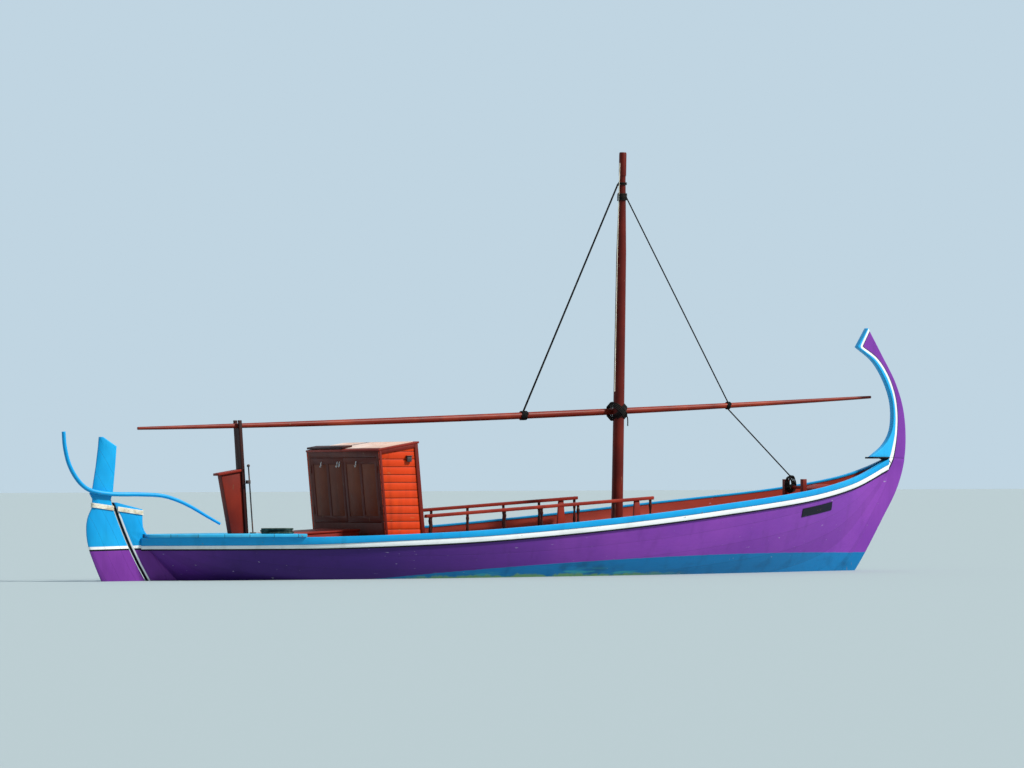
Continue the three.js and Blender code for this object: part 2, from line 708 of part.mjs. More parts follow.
// The iron shoe under the keel that takes the pin.
function heelShoe() {
  const { aft, fore, half, thick } = SHOE;
  const shoe = block([aft, -half, KEEL_BOTTOM - thick], [fore, half, KEEL_BOTTOM - GAP]);
  const boss = bar(axisPoint(PINTLE.end), axisPoint(PINTLE.face), SHOE.boss, SHOE.boss, 14);
  const bore = PINTLE.radius + 2 * GAP;
  const wide = PINTLE.collar + 8;
  const collar = bar(axisPoint(PINTLE.face), axisPoint(0), wide, wide, 14);
  return cut(join(shoe, boss), collar, bar(axisPoint(-140), axisPoint(0), bore, bore, 14));
}

const TILLER_RADIUS = 27;
const TILLER_Y = -(RUDDER_HALF + TILLER_RADIUS + GAP);
const TILLER = [
  [-6050, 1818], [-6035, 1640], [-5985, 1440], [-5900, 1280], [-5790, 1160], [-5660, 1096],
  [-5400, 1060], [-5050, 1054], [-4760, 1040], [-4560, 992], [-4350, 905], [-4140, 792], [-3942, 687],
];

function tiller() {
  return tube(TILLER.map(([x, z]) => [x, TILLER_Y, z]), TILLER_RADIUS, 24, 8);
}

// The rope that holds the rudder head to the stern post, in two halves that end at the seam.
const BAND = { rudder: [-5652, 898], post: [-4984, 800], wide: 46, thick: 16 };
const BAND_ENDS = { rudder: [-5664, -5371], post: [-5326, BAND.post[0] + BAND.thick + GAP] };

function bandHalf(onRudder) {
  const slope = (BAND.post[1] - BAND.rudder[1]) / (BAND.post[0] - BAND.rudder[0]);
  const at = (x, lift) => [x, BAND.rudder[1] + (x - BAND.rudder[0]) * slope + lift];
  const [aft, fore] = onRudder ? BAND_ENDS.rudder : BAND_ENDS.post;
  const outline = [at(aft, 0), at(fore, 0), at(fore, BAND.wide), at(aft, BAND.wide)];
  const half = (onRudder ? RUDDER_HALF : POST_HALF) + GAP;
  const outer = board(outline, -half - BAND.thick, half + BAND.thick);
  const [inAft, inFore] = onRudder ? [aft + BAND.thick, 0] : [-6000, fore - BAND.thick];
  const inner = board([[inAft, 0], [inFore, 0], [inFore, 2000], [inAft, 2000]], -half, half);
  return cut(outer, inner);
}

// Mast, yard and stays

const mastSlope = (MAST.head[0] - MAST.foot[0]) / (MAST.head[1] - MAST.foot[1]);
const mastX = (z) => MAST.foot[0] + (z - MAST.foot[1]) * mastSlope;

// Radius of the mast at heights above its foot.
const MAST_PROFILE = [
  [74, 0], [75, 1200], [72, 2400], [64, 4560], [47, 5300], [41, 5500], [41, 5560],
  [MAST.head_radius, 5566],
];

function mast() {
  const length = Math.hypot(MAST.head[0] - MAST.foot[0], MAST.head[1] - MAST.foot[1]);
  const raw = turned([...MAST_PROFILE, [MAST.head_radius, length]], 18);
  return raw.rotateY(Math.atan(mastSlope)).translate(MAST.foot[0], 0, MAST.foot[1]);
}

function mastBar(clear) {
  const radius = 75 + clear;
  return bar([mastX(-600), 0, -600], [mastX(900), 0, 900], radius, radius, 18);
}

const yardTurn = () => (YARD.mastY - YARD.crutchY) / (MAST.foot[0] - CRUTCH.x);
const yardY = (x) => YARD.crutchY + (x - CRUTCH.x) * yardTurn();
const yardShare = (x) => (x - YARD.aft[0]) / (YARD.fore[0] - YARD.aft[0]);

function yardPoint(x) {
  const share = yardShare(x);
  const z = YARD.aft[1] + (YARD.fore[1] - YARD.aft[1]) * share;
  return [x, yardY(x), z - YARD.sag * 4 * share * (1 - share)];
}

// Thickest past the middle, thin at both ends.
const yardRadius = (x) => 18 + 25 * Math.sin(Math.PI * Math.min(Math.max(yardShare(x), 0), 1)) ** 0.8;

function yard(extra = 0) {
  const steps = 16;
  const sides = 12;
  const rings = [...Array(steps + 1).keys()].map((step) => {
    const x = YARD.aft[0] + ((YARD.fore[0] - YARD.aft[0]) * step) / steps;
    const [, y, z] = yardPoint(x);
    const radius = yardRadius(x) + extra;
    return [...Array(sides).keys()].map((corner) => {
      const angle = (corner / sides) * 2 * Math.PI;
      return [x, y + radius * Math.cos(angle), z + radius * Math.sin(angle)];
    });
  });
  return loft(rings, [1, 2]);
}

const CRUTCH = { x: -3580, lean: 0.064, thick: 45, half: 78, notch: 44, top: 1962 };
const crutchX = (z) => CRUTCH.x - (z - PLATFORM.top) * CRUTCH.lean;

// A leaning board with a slot in its head for the yard.
function crutch() {
  const foot = PLATFORM.top + GAP;
  const outline = [
    [crutchX(foot) - CRUTCH.thick / 2, foot],
    [crutchX(foot) + CRUTCH.thick / 2, foot],
    [crutchX(CRUTCH.top) + CRUTCH.thick / 2, CRUTCH.top],
    [crutchX(CRUTCH.top) - CRUTCH.thick / 2, CRUTCH.top],
  ];
  const seat = yardPoint(crutchX(1880));
  const floor = seat[2] - yardRadius(seat[0]) - GAP * 2;
  const slot = block([-4000, -CRUTCH.notch, floor], [-3400, CRUTCH.notch, 2200]);
  return cut(board(outline, -CRUTCH.half, CRUTCH.half), slot);
}

const SEAT = { top: 1362, half: 76, thick: 30, slope: 0.162, long: 318, drop: 34 };
const PEDESTAL = { half: 55, foot: 182, head: 272, foreRise: 44, below: 78 };

// The after face of the crutch, which the seat stands against.
const seatFront = (z) => crutchX(z) - CRUTCH.thick / 2 - GAP;

function seatPedestal() {
  const foot = PLATFORM.top + GAP;
  const head = SEAT.top - PEDESTAL.below;
  const foreHead = head + PEDESTAL.foreRise;
  const outline = [
    [seatFront(foot) - PEDESTAL.foot, foot],
    [seatFront(foot), foot],
    [seatFront(foreHead), foreHead],
    [seatFront(head) - PEDESTAL.head, head],
  ];
  return board(outline, -PEDESTAL.half, PEDESTAL.half);
}

function seatBoard() {
  const foreZ = SEAT.top - SEAT.drop + GAP;
  const aftZ = foreZ - SEAT.slope * SEAT.long;
  const aft = seatFront(foreZ) - SEAT.long;
  const outline = [
    [aft, aftZ],
    [seatFront(foreZ), foreZ],
    [seatFront(foreZ + SEAT.thick), foreZ + SEAT.thick],
    [aft, aftZ + SEAT.thick],
  ];
  return board(outline, -SEAT.half, SEAT.half);
}

const ROD = { foot: -3520, head: -3580, y: -118, top: 1400, radius: 9, knob: 20, base: 30 };
const ROD_BRACKET = { aft: -3598, fore: -3556, y: -130, bottom: 1178, top: 1222 };

// The engine control: a rod on a base, steadied by a bracket on the crutch.
function controlRod() {
  const head = [ROD.head, ROD.y, ROD.top];
  const rod = bar([ROD.foot, ROD.y, PLATFORM.top + 4], head, ROD.radius, ROD.radius, 10);
  const knob = new THREE.SphereGeometry(ROD.knob, 12, 8).translate(...head);
  const base = block(
    [ROD.foot - ROD.base, ROD.y - ROD.base, PLATFORM.top + GAP],
    [ROD.foot + ROD.base, ROD.y + ROD.base, PLATFORM.top + 14],
  );
  const bracket = block(
    [ROD_BRACKET.aft, ROD_BRACKET.y, ROD_BRACKET.bottom],
    [ROD_BRACKET.fore, -CRUTCH.half - GAP, ROD_BRACKET.top],
  );
  return join(rod, knob, base, bracket);
}

const STAY = { collarZ: 4865, collar: 76, collarHalf: 46, yardX: 3620, turns: 18, radius: 10 };
const HALYARD = { topZ: 5035, yardX: 470, radius: 17 };
const BITT = { x: 4550, half: 215, size: 62, top: 1212, barZ: 1104 };
const FORESTAY_FOOT = [BITT.x, 118, 1262];

// A cone a little wider than the mast near a height, for holes that it passes.
function mastSleeve(z, clear) {
  const at = (height) => [mastX(height), 0, height];
  return bar(at(z - 300), at(z + 300), 59 + clear, 52 + clear, 18);
}

// Turns of rope round the yard, and the hole that the yard passes.
function yardTurns(x, long) {
  const at = (away, radius) => bar(yardPoint(x - away), yardPoint(x + away), radius, radius, 12);
  return { turns: at(long / 2, yardRadius(x) + STAY.turns), hole: at(long, yardRadius(x) + 1) };
}

const lifted = ([x, y, z], rise) => [x, y, z + rise];

// From a collar round the mast down to turns on the yard, and on to the bitts.
function forestay() {
  const collar = turned([[STAY.collar, -STAY.collarHalf], [STAY.collar, STAY.collarHalf]], 16)
    .rotateY(Math.atan(mastSlope))
    .translate(mastX(STAY.collarZ), 0, STAY.collarZ);
  const crossing = yardPoint(STAY.yardX);
  const out = yardRadius(STAY.yardX) + STAY.turns / 2;
  const start = [mastX(STAY.collarZ) + STAY.collar - STAY.radius, 0, STAY.collarZ];
  const upper = bar(start, lifted(crossing, out), STAY.radius, STAY.radius, 8);
  const tail = bar(lifted(crossing, -out), FORESTAY_FOOT, STAY.radius, STAY.radius, 8);
  const { turns, hole } = yardTurns(STAY.yardX, 60);
  return join(cut(collar, mastSleeve(STAY.collarZ, 5)), upper, cut(turns, hole), tail);
}

// Holds up the yard abaft the mast.
function halyard() {
  const crossing = yardPoint(HALYARD.yardX);
  const out = yardRadius(HALYARD.yardX) + STAY.turns / 2;
  const start = [mastX(HALYARD.topZ) - 74, 0, HALYARD.topZ];
  const { turns, hole } = yardTurns(HALYARD.yardX, 90);
  return join(bar(start, lifted(crossing, out), HALYARD.radius, HALYARD.radius, 8), cut(turns, hole));
}

function yardLashing() {
  const at = yardPoint(mastX(2100));
  const lump = new THREE.SphereGeometry(1, 12, 8).scale(112, 148, 96).translate(at[0], at[1] / 2, at[2]);
  return cut(lump, yard(GAP), bar([mastX(1800), 0, 1800], [mastX(2400), 0, 2400], 76, 76, 18));
}

// Fore deck fittings

function bitts() {
  const posts = [-1, 1].map((sign) => {
    const y = sign * BITT.half;
    return block(
      [BITT.x - BITT.size / 2, y - BITT.size / 2, foredeckTop(BITT.x) - 40],
      [BITT.x + BITT.size / 2, y + BITT.size / 2, BITT.top],
    );
  });
  const cross = bar([BITT.x, -BITT.half, BITT.barZ], [BITT.x, BITT.half, BITT.barZ], 20, 20, 12);
  const above = board(
    [
      [BITT.x - 300, foredeckTop(BITT.x - 300) + GAP],
      [BITT.x + 300, foredeckTop(BITT.x + 300) + GAP],
      [BITT.x + 300, 1600],
      [BITT.x - 300, 1600],
    ],
    -400,
    400,
  );
  return common(join(...posts, cross), above);
}

function bittTurns() {
  const lump = new THREE.SphereGeometry(1, 12, 8)
    .scale(66, 78, 118)
    .translate(BITT.x, 92, 1142);
  const clearBar = bar([BITT.x, -300, BITT.barZ], [BITT.x, 300, BITT.barZ], 21, 21, 12);
  const post = block([BITT.x - 60, BITT.half - BITT.size / 2 - GAP, 900], [BITT.x + 60, 400, 1400]);
  const keep = block([4300, -200, foredeckTop(4650) + 8], [4800, 200, 1256]);
  return common(cut(lump, clearBar, post), keep);
}

const FORE_HATCH = { aft: 4790, fore: 5040, half: 150, high: 130 };

function foreHatch() {
  const { aft, fore, half, high } = FORE_HATCH;
  const shape = new THREE.Shape();
  shape.moveTo(aft, foredeckTop(aft) + GAP);
  shape.lineTo(fore, foredeckTop(fore) + GAP);
  shape.lineTo(fore, foredeckTop(fore) + high * 0.72);
  shape.quadraticCurveTo((aft + fore) / 2, foredeckTop(fore) + high, aft, foredeckTop(aft) + high * 0.72);
  return board(shape, -half, half);
}

// Mast thwart: the beam across the boat, on two legs, that the mast passes through.
const THWART = { aft: 1660, fore: 1915, bottom: 400, top: 462, half: 860, leg: 70 };

function mastThwart() {
  const { aft, fore, bottom, top, half, leg } = THWART;
  const beam = block([aft, -half, bottom], [fore, half, top]);
  const legs = [-1, 1].map((sign) => {
    const [near, far] = [sign * half, sign * (half - leg)];
    return block([aft, Math.min(near, far), DECK_TOP + GAP], [fore, Math.max(near, far), bottom + 1]);
  });
  return cut(join(beam, ...legs), mastBar(GAP));
}

// Cabin

const leanX = (x, z) => x - (z - DECK_TOP) * CABIN.lean;
const roofUnder = (x) => CABIN.aftTop + (x - leanX(CABIN.aft, CABIN.aftTop)) * CABIN.roofSlope;

// Height at which a leaning line meets the underside of the roof, given its place at the deck.
function underRoof(x) {
  const { lean, roofSlope, aftTop, aft } = CABIN;
  const across = x - leanX(aft, aftTop);
  return (aftTop - GAP + roofSlope * (across + DECK_TOP * lean)) / (1 + lean * roofSlope);
}

// Outline in the X-Z plane of a leaning piece between two places, from one height to the roof or
// to a height.
function leaning(aft, fore, low, high) {
  const [aftTop, foreTop] = high === undefined ? [underRoof(aft), underRoof(fore)] : [high, high];
  return [
    [leanX(aft, low), low],
    [leanX(fore, low), low],
    [leanX(fore, foreTop), foreTop],
    [leanX(aft, aftTop), aftTop],
  ];
}

function cabinSide(sign) {
  const outline = leaning(CABIN.aft, CABIN.fore, DECK_TOP + GAP);
  const [out, inner] = [CABIN.half, CABIN.half - CABIN.wall];
  return sign > 0 ? board(outline, inner, out) : board(outline, -out, -inner);
}

const CABIN_INNER = CABIN.half - CABIN.wall - GAP;

function cabinFront() {
  const outline = leaning(CABIN.fore - CABIN.wall, CABIN.fore, DECK_TOP + GAP);
  return board(outline, -CABIN_INNER, CABIN_INNER);
}

const FRAME_THICK = 44;

// Lift-off hinges on the outer face: the lower knuckle belongs to the frame, the upper to the leaf.
const HINGE = { heights: [840, 1350], long: 44, radius: 8, clear: 1.2 };

// A round piece on the hinge line between two distances along it from one of the hinge heights.
function hingeBar(sign, height, from, to, radius) {
  const y = sign * (DOOR.half - DOOR.clear / 2);
  const length = Math.hypot(CABIN.lean, 1);
  const at = (away) => [
    leanX(CABIN.aft, height) - (away * CABIN.lean) / length,
    y,
    height + away / length,
  ];
  return bar(at(from), at(to), radius, radius, 12);
}

const knuckles = (sign, onLeaf, extra = 0) =>
  HINGE.heights.map((height) => {
    const [from, to] = onLeaf ? [GAP, HINGE.long] : [-HINGE.long, 0];
    return hingeBar(sign, height, from - extra, to + extra, HINGE.radius + extra);
  });

function doorFrame() {
  const outline = leaning(CABIN.aft, CABIN.aft + FRAME_THICK, DECK_TOP + GAP);
  const opening = block([-2600, -DOOR.half, DOOR.bottom], [-1700, DOOR.half, DOOR.top]);
  const slots = [-1, 1].flatMap((sign) => knuckles(sign, true, HINGE.clear));
  const fixed = [-1, 1].flatMap((sign) => knuckles(sign, false));
  return join(cut(board(outline, -CABIN_INNER, CABIN_INNER), opening, ...slots), ...fixed);
}

// One leaf with two sunk panels, hung on the outer edge of the opening.
function doorLeaf(sign) {
  const { bottom, top, half, thick, clear, stile } = DOOR;
  const outline = leaning(CABIN.aft, CABIN.aft + thick, bottom + clear, top - clear);
  const [near, far] = [clear / 2 + 1, half - clear];
  const span = (from, to) => (sign > 0 ? [from, to] : [-to, -from]);
  const leaf = board(outline, ...span(near, far));
  const wide = (far - near - 3 * stile) / 2;
  const sunk = leaning(CABIN.aft - 20, CABIN.aft + DOOR.sunk, bottom + DOOR.rail, top - DOOR.rail);
  const panels = [0, 1].map((column) => {
    const from = near + stile + column * (wide + stile);
    return board(sunk, ...span(from, from + wide));
  });
  const slots = knuckles(sign, false, HINGE.clear);
  return join(cut(leaf, ...panels, ...slots), ...knuckles(sign, true));
}

function cabinRoof() {
  const { over, thick } = ROOF;
  const [aft, fore] = [leanX(CABIN.aft, CABIN.aftTop) - over, leanX(CABIN.fore, CABIN.aftTop) + over];
  const outline = [
    [aft, roofUnder(aft)],
    [fore, roofUnder(fore)],
    [fore, roofUnder(fore) + thick],
    [aft, roofUnder(aft) + thick],
  ];
  return board(outline, -CABIN.half - over, CABIN.half + over);
}

const boxTop = (x) => {
  const { aft, fore, aftTop, foreTop } = ENGINE_BOX;
  return aftTop + ((x - aft) * (foreTop - aftTop)) / (fore - aft);
};

// Four walls round the hatch over the engine.
function engineBox() {
  const { aft, fore, half, wall } = ENGINE_BOX;
  const low = DECK_TOP + GAP;
  const outer = board([[aft, low], [fore, low], [fore, boxTop(fore)], [aft, boxTop(aft)]], -half, half);
  const inner = block([aft + wall, -half + wall, 0], [fore - wall, half - wall, WIDE]);
  return cut(outer, inner);
}

function engineLid() {
  const { aft, fore, half } = ENGINE_BOX;
  const { thick, over } = ENGINE_LID;
  const [low, high] = [aft - over, fore + over];
  const outline = [
    [low, boxTop(low) + GAP],
    [high, boxTop(high) + GAP],
    [high, boxTop(high) + thick],
    [low, boxTop(low) + thick],
  ];
  return board(outline, -half - over, half + over);
}

// Rails along the hold

const RAIL = { y: 940, aft: -1548, fore: 1772, aftTop: 788, foreTop: 1000, thick: 42, wide: 64, foot: 26 };
const SPINDLES = { first: -1480, step: 535, count: 7 };
const END_BOARD = { foot: [1440, 1610], head: [1490, 1560], half: 14 };
const railSlope = (RAIL.foreTop - RAIL.aftTop) / (RAIL.fore - RAIL.aft);
const railTop = (x) => RAIL.aftTop + (x - RAIL.aft) * railSlope;

function rail(sign) {
  const top = board(
    [
      [RAIL.aft, RAIL.aftTop - RAIL.thick],
      [RAIL.fore, RAIL.foreTop - RAIL.thick],
      [RAIL.fore, RAIL.foreTop],
      [RAIL.aft, RAIL.aftTop],
    ],
    sign * RAIL.y - RAIL.wide / 2,
    sign * RAIL.y + RAIL.wide / 2,
  );
  const low = DECK_TOP + GAP;
  const foot = block(
    [CABIN_FLOOR_FORE + 4, sign * RAIL.y - 48, low],
    [RAIL.fore, sign * RAIL.y + 48, low + RAIL.foot],
  );
  const spindles = [...Array(SPINDLES.count).keys()].map((place) => {
    const x = SPINDLES.first + place * SPINDLES.step;
    return spindle(railTop(x) - RAIL.thick / 2 - low).translate(x, sign * RAIL.y, low + 2);
  });
  const end = board(
    [
      ...END_BOARD.foot.map((x) => [x, low + 4]),
      ...END_BOARD.head.map((x) => [x, railTop(x) - RAIL.thick / 2]).reverse(),
    ],
    sign * RAIL.y - END_BOARD.half,
    sign * RAIL.y + END_BOARD.half,
  );
  return join(top, foot, end, ...spindles);
}

// A turned post with a bead and a waist.
function spindle(height) {
  const shares = [[23, 0], [23, 0.3], [14, 0.38], [20, 0.56], [14, 0.74], [21, 0.86], [17, 1]];
  return turned(shares.map(([radius, share]) => [radius, share * height]), 6);
}

// A coil of rope that lies on the platform.
const COIL = { x: -3458, y: -640, outer: 205, inner: 96, high: 76 };

function ropeCoil() {
  const low = 0;
  const profile = [
    [COIL.inner + 24, low], [COIL.outer - 24, low], [COIL.outer, 26], [COIL.outer - 6, 52],
    [COIL.outer - 42, COIL.high], [COIL.inner + 34, COIL.high], [COIL.inner, 46], [COIL.inner + 2, 22],
    [COIL.inner + 24, low],
  ];
  return new THREE.LatheGeometry(profile.map(toVector2), 18)
    .rotateX(Math.PI / 2)
    .translate(COIL.x, COIL.y, PLATFORM.top + GAP);
}

// The boat

const boat = new THREE.Group();
boat.name = "dhoni";

function add(name, geometry, material) {
  const mesh = new THREE.Mesh(geometry, material);
  mesh.name = name;
  boat.add(mesh);
}

const SIDES = [["port", 1], ["starboard", -1]];

add("hull_planking", hullPlanking(), PURPLE);
add("keel", keel(), PURPLE);
add("stem", stem(), PURPLE);
add("stern_post", sternPost(), PURPLE);
add("frames_and_keelson", framesAndKeelson(), BARE_WOOD);
add("hold_floor", holdFloor(), BARE_WOOD);
add("aft_deck", aftDeck(), RED_BROWN);
add("side_deck", sideDeck(), RED_BROWN);
add("fore_deck", foreDeck(), RED_BROWN);
add("fore_bulkhead", foreBulkhead(), RED_BROWN);
add("aft_bulkhead", aftBulkhead(), RED_BROWN);
add("aft_platform", aftPlatform(), SKY_BLUE);
add("hold_coaming", holdCoaming(), RED_BROWN);
add("bow_shelf", bowShelf(), DARK_BROWN);
for (const [name, sign] of SIDES) {
  add(`gunwale_${name}`, gunwale(sign), SKY_BLUE);
  add(`white_strake_${name}`, whiteStrake(sign), WHITE);
  add(`number_plate_${name}`, numberPlate(sign), DARK_PLATE);
  add(`rail_${name}`, rail(sign), DARK_BROWN);
  add(`cabin_side_${name}`, cabinSide(sign), ORANGE);
  add(`cabin_door_${name}`, doorLeaf(sign), DARK_BROWN);
}
add("cabin_front", cabinFront(), ORANGE);
add("cabin_door_frame", doorFrame(), DARK_BROWN);
add("cabin_roof", cabinRoof(), RED_BROWN);
add("engine_box", engineBox(), RED_BROWN);
add("engine_lid", engineLid(), RED_BROWN);
add("engine_bearers", engineBearers(), BARE_WOOD);
add("engine", engine(), ENGINE_GREY);
add("stern_tube", sternTube(), BRONZE);
add("propeller_shaft", propellerShaft(), BRONZE);
add("propeller", propeller(), BRONZE);
add("rudder_blade", rudderBlade(), PURPLE);
add("rudder_heel_pintle", heelPintle(), IRON);
add("keel_heel_shoe", heelShoe(), IRON);
add("rudder_band", bandHalf(true), PALE_ROPE);
add("stern_post_band", bandHalf(false), PALE_ROPE);
add("tiller", tiller(), SKY_BLUE);
add("mast_thwart", mastThwart(), RED_BROWN);
add("mast", mast(), RED_BROWN);
add("yard", yard(), RED_BROWN);
add("crutch", crutch(), RED_BROWN);
add("seat_pedestal", seatPedestal(), RED_BROWN);
add("seat_board", seatBoard(), RED_BROWN);
add("control_rod", controlRod(), IRON);
add("forestay", forestay(), DARK_ROPE);
add("halyard", halyard(), DARK_ROPE);
add("yard_lashing", yardLashing(), DARK_ROPE);
add("bitts", bitts(), RED_BROWN);
add("bitt_turns", bittTurns(), DARK_ROPE);
add("fore_hatch", foreHatch(), RED_BROWN);
add("rope_coil", ropeCoil(), DARK_ROPE);

export default boat;
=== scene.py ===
"""Looks of a dhoni, a double ended wooden boat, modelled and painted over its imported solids.

Every length is in metres: X runs forward, Y to port, Z up, and the waterline is at zero.
"""

import json
import logging
import math
from collections.abc import Callable, Sequence
from dataclasses import dataclass
from enum import Enum

import bpy
from mathutils import Matrix, Vector

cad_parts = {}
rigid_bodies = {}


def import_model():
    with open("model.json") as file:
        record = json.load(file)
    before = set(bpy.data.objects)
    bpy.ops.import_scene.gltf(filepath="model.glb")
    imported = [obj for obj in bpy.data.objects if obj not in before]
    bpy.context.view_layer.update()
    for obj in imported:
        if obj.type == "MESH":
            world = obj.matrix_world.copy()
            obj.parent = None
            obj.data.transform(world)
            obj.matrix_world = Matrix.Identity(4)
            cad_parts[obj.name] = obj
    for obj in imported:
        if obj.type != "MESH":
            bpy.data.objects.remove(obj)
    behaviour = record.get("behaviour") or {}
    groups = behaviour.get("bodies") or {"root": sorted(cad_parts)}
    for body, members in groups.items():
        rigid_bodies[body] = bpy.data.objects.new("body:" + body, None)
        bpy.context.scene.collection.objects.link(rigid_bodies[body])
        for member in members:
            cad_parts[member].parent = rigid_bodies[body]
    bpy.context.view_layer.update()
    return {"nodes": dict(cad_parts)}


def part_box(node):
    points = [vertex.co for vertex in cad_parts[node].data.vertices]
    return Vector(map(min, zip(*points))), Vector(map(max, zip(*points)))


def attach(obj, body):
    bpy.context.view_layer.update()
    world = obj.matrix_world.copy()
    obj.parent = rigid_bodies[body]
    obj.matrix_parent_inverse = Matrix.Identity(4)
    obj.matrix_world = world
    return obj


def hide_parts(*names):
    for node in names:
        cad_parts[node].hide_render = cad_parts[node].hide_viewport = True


LOG = logging.getLogger("dhoni")

Point = tuple[float, float, float]
Flat = tuple[float, float]
Colour = tuple[float, float, float, float]
Piece = bpy.types.Object

GAP = 0.0004  # between pieces that touch


class Body(Enum):
    """The parts of the boat that move as one."""

    HULL = "hull"
    RUDDER = "rudder"
    PROPELLER = "propeller"
    DOOR_PORT = "door_port"
    DOOR_STARBOARD = "door_starboard"
    ENGINE_LID = "engine_lid"


class Slot(Enum):
    """The material slots named along with each piece."""

    HULL = "hull_paint"
    BLUE = "blue_paint"
    WHITE = "white_paint"
    RED = "red_paint"
    BROWN = "brown_paint"
    ORANGE = "orange_paint"
    ENGINE = "engine_paint"
    BRONZE = "bronze"
    IRON = "iron"
    DARK_ROPE = "dark_rope"
    PALE_ROPE = "pale_rope"


class Side(Enum):
    """The two sides of the boat, each with its sign along Y."""

    PORT = 1
    STARBOARD = -1

    @property
    def word(self) -> str:
        """The word in which the names of its solids and pieces end."""
        return self.name.lower()


class Axis(Enum):
    """A direction that grain runs in or boards are counted in."""

    X = "X"
    Y = "Y"
    Z = "Z"

    def drawn_out(self, share: float) -> Point:
        """Factors on a noise's scale that draw its patches out this way."""
        return tuple(share if axis is self else 1.0 for axis in Axis)


# Paint and wood


def linear(code: str) -> Colour:
    """Turns a colour code into linear light.

    Args:
        code: Six hexadecimal digits after a hash.

    Returns:
        Red, green, blue and an opacity of one.
    """
    parts = [int(code[place:place + 2], 16) / 255 for place in (1, 3, 5)]
    light = [part / 12.92 if part <= 0.04045 else ((part + 0.055) / 1.055) ** 2.4 for part in parts]
    return (light[0], light[1], light[2], 1.0)


class Term:
    """A socket that adds Math nodes when it stands in an expression."""

    def __init__(self, sheet: "Sheet", socket: bpy.types.NodeSocket) -> None:
        """Keeps the socket and the sheet that it belongs to."""
        self.sheet = sheet
        self.socket = socket

    def __add__(self, other: "Term | float") -> "Term":
        """Sum."""
        return self.sheet.maths("ADD", self, other)

    def __radd__(self, other: float) -> "Term":
        """Sum with a number on the left."""
        return self.sheet.maths("ADD", other, self)

    def __sub__(self, other: "Term | float") -> "Term":
        """Difference."""
        return self.sheet.maths("SUBTRACT", self, other)

    def __rsub__(self, other: float) -> "Term":
        """Difference from a number on the left."""
        return self.sheet.maths("SUBTRACT", other, self)

    def __mul__(self, other: "Term | float") -> "Term":
        """Product."""
        return self.sheet.maths("MULTIPLY", self, other)

    def __rmul__(self, other: float) -> "Term":
        """Product with a number on the left."""
        return self.sheet.maths("MULTIPLY", other, self)

    def __truediv__(self, other: "Term | float") -> "Term":
        """Quotient."""
        return self.sheet.maths("DIVIDE", self, other)


